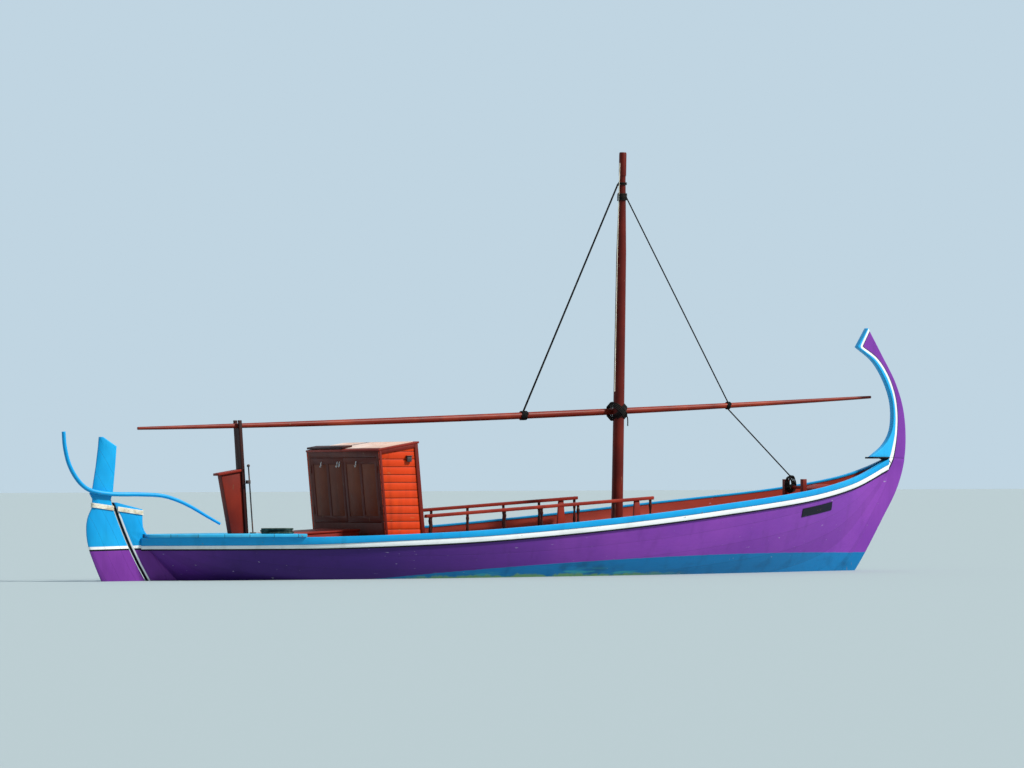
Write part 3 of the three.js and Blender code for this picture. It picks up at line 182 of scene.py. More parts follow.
class Sheet:
    """A material that is being mixed: its nodes and the shader that they feed."""

    def __init__(self, name: str) -> None:
        """Starts a material with one shader and its output.

        Args:
            name: The finish's name.
        """
        self.material = bpy.data.materials.new(name)
        self.material.use_nodes = True
        self.tree = self.material.node_tree
        self.tree.nodes.clear()
        self.shader = self.add("ShaderNodeBsdfPrincipled")
        self.add("ShaderNodeOutputMaterial", feeds={"Surface": self.shader.outputs[0]})
        self.place = self.add("ShaderNodeTexCoord").outputs["Object"]
        parts = self.add("ShaderNodeSeparateXYZ", feeds={0: self.place})
        self.along = {axis: Term(self, parts.outputs[axis.value]) for axis in Axis}

    def add(
        self,
        kind: str,
        settings: dict[str, object] | None = None,
        feeds: dict[str | int, object] | None = None,
    ) -> bpy.types.Node:
        """Adds any node.

        Args:
            kind: The node's type.
            settings: Its own settings.
            feeds: Values or links for its sockets, by name or number.

        Returns:
            The new node.
        """
        node = self.tree.nodes.new(kind)
        for key, value in (settings or {}).items():
            setattr(node, key, value)
        for key, value in (feeds or {}).items():
            self.feed(node.inputs[key], value)
        return node

    def feed(self, socket: bpy.types.NodeSocket, value: object) -> None:
        """Links a term or a socket to a socket, or sets a plain value on it.

        Args:
            socket: The socket that is fed.
            value: A term, another socket or a plain value.
        """
        if isinstance(value, Term):
            value = value.socket
        if isinstance(value, bpy.types.NodeSocket):
            self.tree.links.new(value, socket)
        else:
            socket.default_value = value

    def maths(self, operation: str, *values: "Term | float") -> Term:
        """Adds one Math node.

        Args:
            operation: What the node does.
            values: Its terms or numbers.

        Returns:
            The result.
        """
        node = self.add("ShaderNodeMath", {"operation": operation}, dict(enumerate(values)))
        return Term(self, node.outputs[0])

    def step(self, value: Term, low: float, high: float) -> Term:
        """A smooth rise from 0 to 1 between two values.

        Args:
            value: What is measured.
            low: Where the rise starts.
            high: Where it ends. A lower value than low makes it a fall.

        Returns:
            The rise.
        """
        feeds = {"Value": value, "From Min": low, "From Max": high}
        node = self.add("ShaderNodeMapRange", {"interpolation_type": "SMOOTHSTEP"}, feeds)
        return Term(self, node.outputs[0])

    def mix(self, share: "Term | float", low: object, high: object) -> bpy.types.NodeSocket:
        """Mixes two colours.

        Args:
            share: How much of the second shows.
            low: First colour, as a code or a socket.
            high: Second colour, as a code or a socket.

        Returns:
            The mixed colour.
        """
        low, high = (linear(colour) if isinstance(colour, str) else colour for colour in (low, high))
        node = self.add("ShaderNodeMix", {"data_type": "RGBA"}, {0: share, 6: low, 7: high})
        return node.outputs[2]

    def brighter(self, colour: object, gain: Term) -> bpy.types.NodeSocket:
        """Scales a colour by a term.

        Args:
            colour: A code or a socket.
            gain: The factor.

        Returns:
            The scaled colour.
        """
        colour = linear(colour)[:3] if isinstance(colour, str) else colour
        node = self.add("ShaderNodeVectorMath", {"operation": "SCALE"}, {0: colour, "Scale": gain})
        return node.outputs[0]

    def noise(self, scale: float, detail: float = 3.0, stretch: Point = (1, 1, 1)) -> Term:
        """Cloudy noise over the piece.

        Args:
            scale: Patches to the metre.
            detail: Octaves.
            stretch: Factor on the scale in each direction.

        Returns:
            Noise from 0 to 1.
        """
        stretched = self.add("ShaderNodeVectorMath", {"operation": "MULTIPLY"}, {0: self.place, 1: stretch})
        feeds = {"Vector": stretched.outputs[0], "Scale": scale, "Detail": detail}
        return Term(self, self.add("ShaderNodeTexNoise", {}, feeds).outputs[0])

    def attribute(self, name: str) -> Term:
        """A number that the piece's own mesh carries at its points."""
        node = self.add("ShaderNodeAttribute", {"attribute_name": name})
        return Term(self, node.outputs["Fac"])

    def off_middle(self, count: Term) -> Term:
        """Distance from the middle of each whole step of a count, from 0 to a half."""
        return self.maths("ABSOLUTE", self.maths("FRACT", count) - 0.5)

    def tone(self, count: Term) -> Term:
        """A random number for each whole step of a count.

        Args:
            count: The count.

        Returns:
            The number, from 0 to 1.
        """
        feeds = {"W": self.maths("FLOOR", count)}
        node = self.add("ShaderNodeTexWhiteNoise", {"noise_dimensions": "1D"}, feeds)
        return Term(self, node.outputs["Value"])

    def finish(
        self,
        colour: object,
        roughness: object,
        height: Term | None,
        metallic: object = 0.0,
        sheen: float = 0.22,
    ) -> None:
        """Feeds the shader.

        Args:
            colour: Base colour.
            roughness: Roughness, as a number or a term.
            height: Relief in metres, or None for a smooth surface.
            metallic: Metallic share.
            sheen: Strength of the reflections.
        """
        self.feed(self.shader.inputs["Base Color"], colour)
        self.feed(self.shader.inputs["Roughness"], roughness)
        self.feed(self.shader.inputs["Metallic"], metallic)
        self.shader.inputs["Specular IOR Level"].default_value = sheen
        if height is not None:
            bump = self.add("ShaderNodeBump", {}, {"Height": height, "Distance": 1.0, "Strength": 0.8})
            self.feed(self.shader.inputs["Normal"], bump.outputs[0])


@dataclass(frozen=True)
class Finish:
    """A surface finish that is mixed once. No material of the frame has its name.

    Attributes:
        name: Name of the finish.
    """

    name: str

    def material(self) -> bpy.types.Material:
        """Mixes the finish, or gives it back if it is mixed already.

        Returns:
            The material.
        """
        ready = bpy.data.materials.get(self.name)
        if ready:
            return ready
        sheet = Sheet(self.name)
        self.apply(sheet)
        return sheet.material

    def apply(self, sheet: Sheet) -> None:
        """Mixes the finish on an empty sheet."""
        raise NotImplementedError


@dataclass(frozen=True)
class Boards:
    """How a painted face is made up of boards.

    Attributes:
        across: Direction in which the boards are counted.
        pitch: Width of one board.
        start: Place of a seam.
        seam: Width of the dark line between boards.
    """

    across: Axis
    pitch: float
    start: float = 0.0
    seam: float = 0.005


@dataclass(frozen=True)
class Paint(Finish):
    """Gloss paint on wood, with brush marks, faded patches, rubbed places and run-down dirt.

    Attributes:
        colour: Main colour.
        faded: Colour of sun-bleached patches.
        roughness: Roughness where the paint is sound.
        grain: Direction of the grain.
        boards: How the face is boarded, if it is.
        rubbed: How much bare wood shows, from 0 to 1.
        bare: Colour of the bare wood.
        dirt: How strong the run-down dirt is.
    """

    colour: str
    faded: str
    roughness: float = 0.42
    grain: Axis = Axis.X
    boards: Boards | None = None
    rubbed: float = 0.15
    bare: str = "#7d6450"
    dirt: float = 0.25

    def tint(self, sheet: Sheet) -> bpy.types.NodeSocket:
        """The paint's colour before grain and wear."""
        patches = sheet.step(sheet.noise(1.6, 4), 0.42, 0.72)
        return sheet.mix(patches, self.colour, self.faded)

    def apply(self, sheet: Sheet) -> None:
        """Mixes tint, boards, dirt and chips.

        Args:
            sheet: An empty sheet.
        """
        fibres = sheet.noise(95, 5, self.grain.drawn_out(0.05))
        brush = sheet.noise(26, 3, self.grain.drawn_out(0.05))
        gain = 0.86 + 0.16 * fibres + 0.12 * brush
        height = 0.0007 * fibres + 0.0006 * brush
        colour = self.tint(sheet)
        if self.boards:
            line, tone = self._boarding(sheet)
            gain = gain * (0.93 + 0.14 * tone) * (1 - 0.55 * line)
            height = height - 0.003 * line
        runs = sheet.step(sheet.noise(7, 4, (1.0, 1.0, 0.09)), 0.5, 0.78)
        gain = gain * (1 - self.dirt * runs)
        edge = 0.80 - 0.2 * self.rubbed
        spots = sheet.noise(34, 7, self.grain.drawn_out(0.22))
        chips = sheet.step(spots + 0.18 * fibres, edge, edge + 0.03)
        colour = sheet.mix(0.8 * chips, sheet.brighter(colour, gain), self.bare)
        roughness = self.roughness + 0.14 * sheet.noise(9, 4) + 0.3 * chips
        sheet.finish(colour, roughness, height - 0.0006 * chips)

    def _boarding(self, sheet: Sheet) -> tuple[Term, Term]:
        """Works out the seams between boards and each board's own tone.

        Args:
            sheet: The material that is being mixed.

        Returns:
            Seams and tones, each from 0 to 1.
        """
        count = (sheet.along[self.boards.across] - self.boards.start) / self.boards.pitch
        half = 0.5 * self.boards.seam / self.boards.pitch
        line = sheet.step(sheet.off_middle(count), 0.5 - 2.2 * half, 0.5 - half)
        return line, sheet.tone(count)


@dataclass(frozen=True)
class HullPaint(Paint):
    """Topside paint over antifouling, with weed along the waterline, red-brown inside and painted shade
    towards the stern.

    Attributes:
        antifouling: Colour under the boot line.
        old_antifouling: Its colour in worn patches.
        weed: Colour of the growth.
        streaks: Colour of the runs over the growth.
        slime: Colour that darkens the bottom.
        inside: Colour of the inner faces.
        strakes: Planks from keel to sheer.
        aft: Painted shade: a darker purple towards the stern, where the hull faces away from the sun.
        boot: The boot line's height at the origin, its slope and its curve.
    """

    antifouling: str = "#0a6ea6"
    old_antifouling: str = "#0a5480"
    weed: str = "#6f9a4f"
    streaks: str = "#3fa59a"
    slime: str = "#20463a"
    inside: str = "#8f2d1c"
    strakes: int = 9
    aft: str = "#2a1660"
    boot: Point = (0.155, 0.052, -0.0068)

    def tint(self, sheet: Sheet) -> bpy.types.NodeSocket:
        """Bands of paint by height, kept apart from the inner faces.

        Args:
            sheet: The material that is being mixed.

        Returns:
            The colour before grain and wear.
        """
        x, z = sheet.along[Axis.X], sheet.along[Axis.Z]
        # Painted shade: the topside darkens towards the stern. At the very stern it eases back to the main
        # purple as painted light on the lit stern quarter.
        top = sheet.mix(0.85 * sheet.step(x, 2.4, -2.6), self._topside(sheet), self.aft)
        top = sheet.mix(0.5 * sheet.step(x, -3.9, -4.7), top, self.colour)
        height, slope, curve = self.boot
        ragged = 0.012 * (sheet.noise(14, 4) - 0.5)
        above = z - (height + slope * x + curve * (x * x)) + ragged
        colour = sheet.mix(sheet.step(above, 0.004, -0.004), top, self._bottom(sheet))
        colour = self._slimed(sheet, self._overgrown(sheet, colour))
        return sheet.mix(sheet.step(sheet.attribute("inside"), 0.4, 0.6), colour, self.inside)

    def _topside(self, sheet: Sheet) -> bpy.types.NodeSocket:
        """The topside paint with its faded patches."""
        return sheet.mix(sheet.step(sheet.noise(1.1, 4), 0.35, 0.75), self.colour, self.faded)

    def _bottom(self, sheet: Sheet) -> bpy.types.NodeSocket:
        """The antifouling with its worn patches."""
        worn = sheet.step(sheet.noise(5, 5, (0.5, 1, 1)), 0.5, 0.8)
        return sheet.mix(worn, self.antifouling, self.old_antifouling)

    def _overgrown(self, sheet: Sheet, colour: bpy.types.NodeSocket) -> bpy.types.NodeSocket:
        """Adds weed and its runs along the waterline amidships.

        Args:
            sheet: The material that is being mixed.
            colour: Colour of the clean paint.

        Returns:
            The colour with weed.
        """
        x, z = sheet.along[Axis.X], sheet.along[Axis.Z]
        reach = sheet.step(x, -2.1, -1.4) * sheet.step(x, 2.6, 1.2)
        runs = sheet.step(sheet.noise(5, 7, (0.3, 1.0, 3.0)), 0.54, 0.66)
        colour = sheet.mix(0.55 * runs * reach * sheet.step(z, 0.13, 0.05), colour, self.streaks)
        growth = sheet.step(z + 0.13 * (sheet.noise(7, 7) - 0.5), 0.036, 0.004)
        shallow = sheet.step(z + 0.12 * (sheet.noise(4, 6) - 0.5), -0.26, -0.07)
        return sheet.mix(growth * reach * shallow * 0.8, colour, self.weed)

    def _slimed(self, sheet: Sheet, colour: bpy.types.NodeSocket) -> bpy.types.NodeSocket:
        """Darkens a colour under the waterline."""
        under = sheet.step(sheet.along[Axis.Z] + 0.05 * sheet.noise(9, 5), 0.03, -0.05)
        return sheet.mix(under * 0.6, colour, self.slime)

    def _boarding(self, sheet: Sheet) -> tuple[Term, Term]:
        """Seams between strakes by their share of the way from keel to sheer."""
        count = sheet.attribute("girth") * float(self.strakes)
        return 0.3 * sheet.step(sheet.off_middle(count), 0.476, 0.492), sheet.tone(count)


@dataclass(frozen=True)
class StemPaint(HullPaint):
    """Purple timber with a white band and light blue towards the inner edge."""

    def tint(self, sheet: Sheet) -> bpy.types.NodeSocket:
        """Bands by the distance from the painted line, over the boot line.

        Args:
            sheet: The material that is being mixed.

        Returns:
            The colour before grain and wear.
        """
        line = sheet.attribute("line")
        ragged = sheet.along[Axis.Z] + 0.012 * sheet.noise(14, 4)
        body = sheet.mix(sheet.step(ragged, 0.252, 0.244), self._topside(sheet), self._bottom(sheet))
        body = self._slimed(sheet, body)
        dark = sheet.mix(sheet.step(line, 0.003, -0.001), body, "#181428")
        white = sheet.mix(sheet.step(line, -0.006, -0.010), dark, "#f1f4f4")
        return sheet.mix(sheet.step(line, -0.034, -0.039), white, "#2ab0ee")


@dataclass(frozen=True)
class PostPaint(Paint):
    """Light blue over purple with a white stripe between, as on the rudder and the stern post.

    Attributes:
        below: Colour under the stripe.
        stripe: Height of the stripe's lower edge.
        rise: How much the stripe rises for each metre forward.
        rake: How far the stern post leans aft for each metre up.
    """

    below: str = "#702f90"
    stripe: float = 0.400
    rise: float = 0.02
    rake: float = 0.5535

    def tint(self, sheet: Sheet) -> bpy.types.NodeSocket:
        """Bands by height.

        Args:
            sheet: The material that is being mixed.

        Returns:
            The colour before grain and wear.
        """
        level = sheet.along[Axis.Z] - self.stripe - self.rise * (sheet.along[Axis.X] + 5.0)
        mottled = sheet.step(sheet.noise(1.6, 4), 0.42, 0.72)
        over = sheet.mix(mottled, self.colour, self.faded)
        under = sheet.mix(mottled, self.below, "#7c389c")
        slime = sheet.step(sheet.along[Axis.Z] + 0.06 * sheet.noise(8, 5), 0.05, -0.02)
        under = sheet.mix(slime * 0.6, under, "#26304e")
        dark = sheet.mix(sheet.step(level, -0.023, -0.019), under, "#101220")
        white = sheet.mix(sheet.step(level, -0.002, 0.002), dark, "#f1f4f4")
        bands = sheet.mix(sheet.step(level, 0.031, 0.036), white, over)
        out = sheet.maths("ABSOLUTE", sheet.along[Axis.Y])
        # Along the post's after edge: a near-black band, painted shade of the gap to the rudder, with a white
        # line beside it.
        after = sheet.attribute("edge") * sheet.step(self._lean(sheet), -4.838, -4.846)
        gap_shade_and_line = sheet.mix(sheet.step(out, 0.032, 0.035), "#090a12", "#e9edef")
        return sheet.mix(after * sheet.step(out, 0.044, 0.041), bands, gap_shade_and_line)

    def _lean(self, sheet: Sheet) -> Term:
        """Distance forward of a line that lies along the stern post."""
        return sheet.along[Axis.X] + self.rake * sheet.along[Axis.Z]

    def _boarding(self, sheet: Sheet) -> tuple[Term, Term]:
        """Faint seams of planks that lie along the stern post.

        Args:
            sheet: The material that is being mixed.

        Returns:
            Seams and tones, each from 0 to 1.
        """
        leaning = self._lean(sheet) + 0.13 * sheet.noise(0.9, 1)
        centre = sheet.off_middle(leaning / self.boards.pitch)
        return sheet.step(centre, 0.484, 0.495) * 0.6, centre


@dataclass(frozen=True)
class Timber(Finish):
    """Oiled wood without paint.

    Attributes:
        colour: Colour of the summer wood.
        dark: Colour of the grain lines.
        grain: Direction of the grain.
    """

    colour: str
    dark: str
    grain: Axis = Axis.X

    def apply(self, sheet: Sheet) -> None:
        """Mixes grain lines and stains.

        Args:
            sheet: An empty sheet.
        """
        stretch = self.grain.drawn_out(0.06)
        fibres = sheet.noise(120, 5, stretch)
        lines = sheet.off_middle(sheet.noise(4, 2, stretch) * 9.0) * 1.3 + 0.35 * fibres
        colour = sheet.mix(lines, self.colour, self.dark)
        stains = sheet.step(sheet.noise(3, 4), 0.5, 0.75)
        colour = sheet.brighter(colour, 1.0 - 0.3 * stains)
        sheet.finish(colour, 0.62 + 0.2 * fibres, 0.0008 * fibres)


@dataclass(frozen=True)
class Rope(Finish):
    """Laid rope with loose fibres and worn strands.

    Attributes:
        colour: Colour of clean strands.
        worn: Colour of rubbed and dirty strands.
    """

    colour: str
    worn: str

    def apply(self, sheet: Sheet) -> None:
        """Mixes strands and fuzz.

        Args:
            sheet: An empty sheet.
        """
        fuzz = sheet.noise(420, 4)
        patches = sheet.step(sheet.noise(14, 4), 0.4, 0.7)
        colour = sheet.brighter(sheet.mix(patches, self.colour, self.worn), 0.7 + 0.6 * fuzz)
        sheet.finish(colour, 0.88, 0.0008 * fuzz)


@dataclass(frozen=True)
class Metal(Finish):
    """Weathered metal, from bright to stained.

    Attributes:
        colour: Colour of the clean metal.
        stain: Colour of rust or verdigris.
        metallic: Metallic share where it is clean.
        roughness: Roughness where it is clean.
    """

    colour: str
    stain: str
    metallic: float = 0.9
    roughness: float = 0.4

    def apply(self, sheet: Sheet) -> None:
        """Mixes pits and stains.

        Args:
            sheet: An empty sheet.
        """
        patches = sheet.step(sheet.noise(22, 6), 0.42, 0.66)
        pits = sheet.noise(260, 4)
        colour = sheet.brighter(sheet.mix(patches, self.colour, self.stain), 0.8 + 0.4 * pits)
        roughness = self.roughness + 0.35 * patches + 0.1 * pits
        relief = 0.0005 * pits + 0.0006 * patches
        sheet.finish(colour, roughness, relief, self.metallic - 0.6 * patches, sheen=0.5)


# The finishes of this boat

PURPLE = HullPaint(
    "hull purple", "#74369c", "#833fa6", 0.34,
    boards=Boards(Axis.Z, 0.2), rubbed=-0.03, bare="#a39bb4", dirt=0.14,
)
STEM_BANDS = StemPaint("stem bands", "#74369c", "#833fa6", 0.34, Axis.Z, None, 0.0, dirt=0.10)
POST_BANDS = PostPaint(
    "post and rudder bands", "#0898d8", "#10a2de", 0.36, Axis.Z, Boards(Axis.X, 0.2), 0.05, dirt=0.12,
)
SKY_BLUE = Paint("light blue", "#0b97d6", "#169fda", 0.36, rubbed=0.05, dirt=0.16)
PLATFORM_BLUE = Paint(
    "platform blue", "#2fa9da", "#55bde4", 0.45, Axis.Y, Boards(Axis.X, 0.28), 0.2, dirt=0.2,
)
WHITE = Paint("white", "#eef2f3", "#e0e5e4", 0.42, rubbed=0.0, bare="#9aa0a4", dirt=0.12)
LINE = Paint("dark line", "#06070e", "#0d0e18", 0.6, rubbed=0.0)
RED_BROWN = Paint("red-brown", "#7e1d0e", "#942a15", 0.48, rubbed=0.12, bare="#6b4433", dirt=0.3)
RED_UPRIGHT = Paint(
    "red-brown upright", "#6b1608", "#80200b", 0.46, Axis.Z, rubbed=0.12, bare="#6b4433", dirt=0.3,
)
CRUTCH_DARK = Paint("crutch brown", "#2c0703", "#3a0e06", 0.5, Axis.Z, rubbed=0.12, bare="#6b4433", dirt=0.3)
DECK_RED = Paint(
    "deck red-brown", "#7c2212", "#92331f", 0.58,
    boards=Boards(Axis.Y, 0.14), rubbed=0.4, bare="#80604c", dirt=0.2,
)
PLANKS_UP = Boards(Axis.Z, 0.09617, 0.3204, 0.007)
BOARDS_ACROSS = Boards(Axis.Y, 0.2319, 0.0, 0.006)
ORANGE = Paint("cabin orange", "#cf3a04", "#dc4a0c", 0.46, Axis.X, PLANKS_UP, 0.12, "#b86a3c", 0.3)
ORANGE_FORE = Paint(
    "cabin fore orange", "#cf3a04", "#dc4a0c", 0.46, Axis.Z, BOARDS_ACROSS, 0.12, "#b86a3c", 0.3,
)
DOOR_BROWN = Paint("door brown", "#561503", "#662106", 0.5, Axis.Z, rubbed=0.12, dirt=0.3)
PANEL_BROWN = Paint("panel brown", "#6c2c0e", "#7c3a17", 0.52, Axis.Z, rubbed=0.12, dirt=0.3)
RAIL_BROWN = Paint("rail brown", "#330f08", "#451a10", 0.44, Axis.Z, rubbed=0.15, dirt=0.25)
ROOF_PALE = Paint("roof", "#cfac9c", "#e6cfc4", 0.6, rubbed=0.1, bare="#8b6a5c", dirt=0.3)
SPAR_RED = Paint("spar red-brown", "#701d0e", "#8c3018", 0.4, rubbed=0.15, bare="#9c7350", dirt=0.2)
MAST_RED = Paint("mast red-brown", "#561006", "#6e1c0d", 0.4, Axis.Z, rubbed=0.12, bare="#8a6048", dirt=0.3)
PLATE_DARK = Paint("blank plate", "#0a0d1c", "#10142a", 0.5, rubbed=0.0, dirt=0.1)
BARE_WOOD = Timber("bare wood", "#8f6d4a", "#5a3f29")
DARK_ROPE = Rope("dark rope", "#1f302a", "#4a5a50")
BLACK_ROPE = Rope("black rope", "#101113", "#26221e")
PALE_ROPE = Rope("pale rope", "#efeadb", "#cdc3ab")
IRON = Metal("weathered iron", "#4a4a4c", "#5d3a28", 0.8, 0.45)
STEEL = Metal("bright steel", "#f0f1f1", "#c9c2b6", 0.25, 0.4)
BRONZE = Metal("cast bronze", "#a27a3e", "#4f7a66", 0.95, 0.35)
ENGINE_GREY = Metal("engine grey", "#59636a", "#3a332c", 0.35, 0.5)


# Bench work: shaping meshes


def clear_selection() -> None:
    """Leaves edit mode and deselects everything."""
    if bpy.context.object and bpy.context.object.mode != "OBJECT":
        bpy.ops.object.mode_set(mode="OBJECT")
    bpy.ops.object.select_all(action="DESELECT")


def take_up(piece: Piece) -> None:
    """Makes one piece the only one that is selected and active.

    Args:
        piece: The piece.
    """
    clear_selection()
    piece.select_set(True)
    bpy.context.view_layer.objects.active = piece


def edit(piece: Piece, *steps: Callable[[], object]) -> None:
    """Runs steps on a piece in edit mode with all of it selected.

    Args:
        piece: The piece.
        steps: Calls to make in order.
    """
    take_up(piece)
    bpy.ops.object.mode_set(mode="EDIT")
    bpy.ops.mesh.select_all(action="SELECT")
    for step in steps:
        step()
    bpy.ops.object.mode_set(mode="OBJECT")


def closed_up() -> None:
    """In edit mode: merges doubles, closes the ends and turns the faces out."""
    bpy.ops.mesh.remove_doubles(threshold=0.00002)
    bpy.ops.mesh.fill_holes(sides=0)
    bpy.ops.mesh.select_all(action="SELECT")
    bpy.ops.mesh.normals_make_consistent(inside=False)


def rounded(piece: Piece, width: float, segments: int = 2, angle: float = 35) -> Piece:
    """Rounds the sharp edges of a piece with a bevel and smooths its shading.

    Args:
        piece: The piece.
        width: Width of the bevel.
        segments: Steps across it.
        angle: Edges sharper than this many degrees are rounded.

    Returns:
        The same piece.
    """
    take_up(piece)
    if width > 0:
        bevel = piece.modifiers.new("edges", "BEVEL")
        bevel.width = width
        bevel.segments = segments
        bevel.limit_method = "ANGLE"
        bevel.angle_limit = math.radians(angle)
        bevel.use_clamp_overlap = True
        bpy.ops.object.modifier_apply(modifier=bevel.name)
    bpy.ops.object.shade_smooth_by_angle(angle=math.radians(angle))
    return piece


def named(piece: Piece, name: str) -> Piece:
    """Names a piece and its mesh.

    Args:
        piece: The piece.
        name: Its new name.

    Returns:
        The same piece.
    """
    piece.name = name
    piece.data.name = name
    return piece


def block(name: str, low: Point, high: Point, edge: float = 0.004) -> Piece:
    """A board or block between two corners with eased edges.

    Args:
        name: Its name.
        low: Lowest corner.
        high: Highest corner.
        edge: Width of the eased edges.

    Returns:
        The piece.
    """
    clear_selection()
    middle = [(a + b) / 2 for a, b in zip(low, high)]
    size = [b - a for a, b in zip(low, high)]
    bpy.ops.mesh.primitive_cube_add(size=1, location=middle, scale=size)
    piece = named(bpy.context.object, name)
    bpy.ops.object.transform_apply(location=True, rotation=True, scale=True)
    return rounded(piece, edge)


def pushed_out(name: str, corners: Sequence[Point], push: Point, edge: float) -> Piece:
    """A board made by pushing a flat face out.

    Args:
        name: Its name.
        corners: Corners of the face.
        push: How far and which way it is pushed.
        edge: Width of the eased edges.

    Returns:
        The piece.
    """
    clear_selection()
    bpy.ops.mesh.primitive_circle_add(vertices=len(corners), fill_type="NGON")
    piece = named(bpy.context.object, name)
    for vertex, corner in zip(piece.data.vertices, corners):
        vertex.co = corner
    move = {"value": push, "orient_type": "GLOBAL"}
    edit(piece, lambda: bpy.ops.mesh.extrude_region_move(TRANSFORM_OT_translate=move), closed_up)
    return rounded(piece, edge)


def sawn(name: str, outline: Sequence[Flat], near: float, far: float, edge: float = 0.004) -> Piece:
    """A board sawn to an outline in the X-Z plane, between two places in Y."""
    return pushed_out(name, [(x, near, z) for x, z in outline], (0, far - near, 0), edge)


def mirrored(port: Sequence[tuple]) -> list[tuple]:
    """A loop from points on the port side, Y second, and their mirror images."""
    return [*port, *((x, -y, *rest) for x, y, *rest in reversed(port))]


def ring_of(middle: Vector, side: Vector, other: Vector, count: int) -> list[Point]:
    """Points round a middle, at even angles from one arm to the other."""
    angles = [corner / count * 2 * math.pi for corner in range(count)]
    return [tuple(middle + math.cos(angle) * side + math.sin(angle) * other) for angle in angles]


def skinned(name: str, rings: Sequence[Sequence[Point]]) -> Piece:
    """A closed skin over rings of points, wrapped from a grid.

    Args:
        name: Its name.
        rings: Closed rings with the same number of points, from one end to the other.

    Returns:
        The piece.
    """
    clear_selection()
    columns, rows = len(rings) - 1, len(rings[0])
    bpy.ops.mesh.primitive_grid_add(x_subdivisions=columns, y_subdivisions=rows, size=2)
    piece = named(bpy.context.object, name)
    for vertex in piece.data.vertices:
        column = round((vertex.co.x + 1) / 2 * columns)
        row = round((vertex.co.y + 1) / 2 * rows)
        vertex.co = rings[column][row % rows]
    edit(piece, closed_up)
    return piece


def measured(piece: Piece, name: str, value: Callable[[Vector], float]) -> None:
    """Writes a number to every point of a piece's mesh.

    Args:
        piece: The piece.
        name: Name of the attribute.
        value: Gives the number at a point.
    """
    layer = piece.data.attributes.new(name, "FLOAT", "POINT")
    for vertex, item in zip(piece.data.vertices, layer.data):
        item.value = value(vertex.co)


def turned(name: str, profile: Sequence[Flat], base: Point, tip: Point, steps: int = 24) -> Piece:
    """A piece turned round the line between two points.

    Args:
        name: Its name.
        profile: Radius and distance from the base, from base to tip.
        base: Where the turning line starts.
        tip: A point that it runs towards.
        steps: Faces round it.

    Returns:
        The piece.
    """
    clear_selection()
    outline = [(0.0, profile[0][1]), *profile, (0.0, profile[-1][1])]
    bpy.ops.mesh.primitive_circle_add(vertices=len(outline))
    piece = named(bpy.context.object, name)
    for vertex, (radius, height) in zip(piece.data.vertices, outline):
        vertex.co = (radius, 0, height)
    spin = {"steps": steps, "angle": 2 * math.pi, "center": (0, 0, 0), "axis": (0, 0, 1)}
    edit(
        piece,
        lambda: bpy.ops.mesh.spin(**spin),
        lambda: bpy.ops.mesh.select_all(action="SELECT"),
        closed_up,
    )
    aim = Vector(tip) - Vector(base)
    turn = Vector((0, 0, 1)).rotation_difference(aim).to_matrix().to_4x4()
    piece.data.transform(Matrix.Translation(base) @ turn)
    return rounded(piece, 0, angle=40)


def smooth_line(points: Sequence[Point], step: float) -> list[Vector]:
    """A smooth line through points, at even steps.

    Args:
        points: What it passes through.
        step: Distance between the points that come back.

    Returns:
        Points along the line.
    """
    places = [Vector(point) for point in points]
    ends = [places[0] * 2 - places[1], *places, places[-1] * 2 - places[-2]]
    fine = [places[0]]
    for before, start, end, after in zip(ends, ends[1:], ends[2:], ends[3:]):
        for share in [part / 16 for part in range(1, 17)]:
            pull = 2 * before - 5 * start + 4 * end - after
            bend = 3 * start - before - 3 * end + after
            fine.append(start + 0.5 * ((end - before) * share + pull * share**2 + bend * share**3))
    lengths = [0.0]
    for start, end in zip(fine, fine[1:]):
        lengths.append(lengths[-1] + (end - start).length)
    count = max(2, round(lengths[-1] / step))
    line, low = [], 0
    for place in range(count + 1):
        goal = lengths[-1] * place / count
        while low + 2 < len(lengths) and lengths[low + 1] < goal:
            low += 1
        share = (goal - lengths[low]) / max(lengths[low + 1] - lengths[low], 1e-9)
        line.append(fine[low].lerp(fine[low + 1], min(max(share, 0), 1)))
    return line


def laid_rope(
    name: str, points: Sequence[Point], radius: float, pitch: float = 7.0, step: float = 0.9,
) -> Piece:
    """Three-strand rope along a smooth line, as a curve of strands that is made a mesh.

    Args:
        name: Its name.
        points: What the rope passes through.
        radius: Radius over the strands.
        pitch: Length of one turn of the strands, in radii.
        step: Length of one section, in radii.

    Returns:
        The piece.
    """
    clear_selection()
    strands = bpy.data.curves.new(f"{name} strands", "CURVE")
    lobes = strands.splines.new("POLY")
    corners = 15
    lobes.points.add(corners - 1)
    for place, point in enumerate(lobes.points):
        angle = place / corners * 2 * math.pi
        out = radius * (0.88 + 0.12 * abs(math.cos(1.5 * angle)))
        point.co = (out * math.cos(angle), out * math.sin(angle), 0, 1)
    lobes.use_cyclic_u = True
    section = bpy.data.objects.new(f"{name} section", strands)
    bpy.context.collection.objects.link(section)
    line = smooth_line(points, radius * step)
    lay = bpy.data.curves.new(name, "CURVE")
    lay.dimensions = "3D"
    lay.bevel_mode = "OBJECT"
    lay.bevel_object = section
    lay.use_fill_caps = True
    spline = lay.splines.new("POLY")
    spline.points.add(len(line) - 1)
    for place, (point, at) in enumerate(zip(spline.points, line)):
        point.co = (*at, 1)
        point.tilt = place * step / pitch * 2 * math.pi
    rope = bpy.data.objects.new(name, lay)
    bpy.context.collection.objects.link(rope)
    take_up(rope)
    bpy.ops.object.convert(target="MESH")
    rope = bpy.context.object
    bpy.data.objects.remove(section)
    edit(rope, closed_up)
    take_up(rope)
    bpy.ops.object.shade_smooth_by_angle(angle=math.radians(60))
    return named(rope, name)


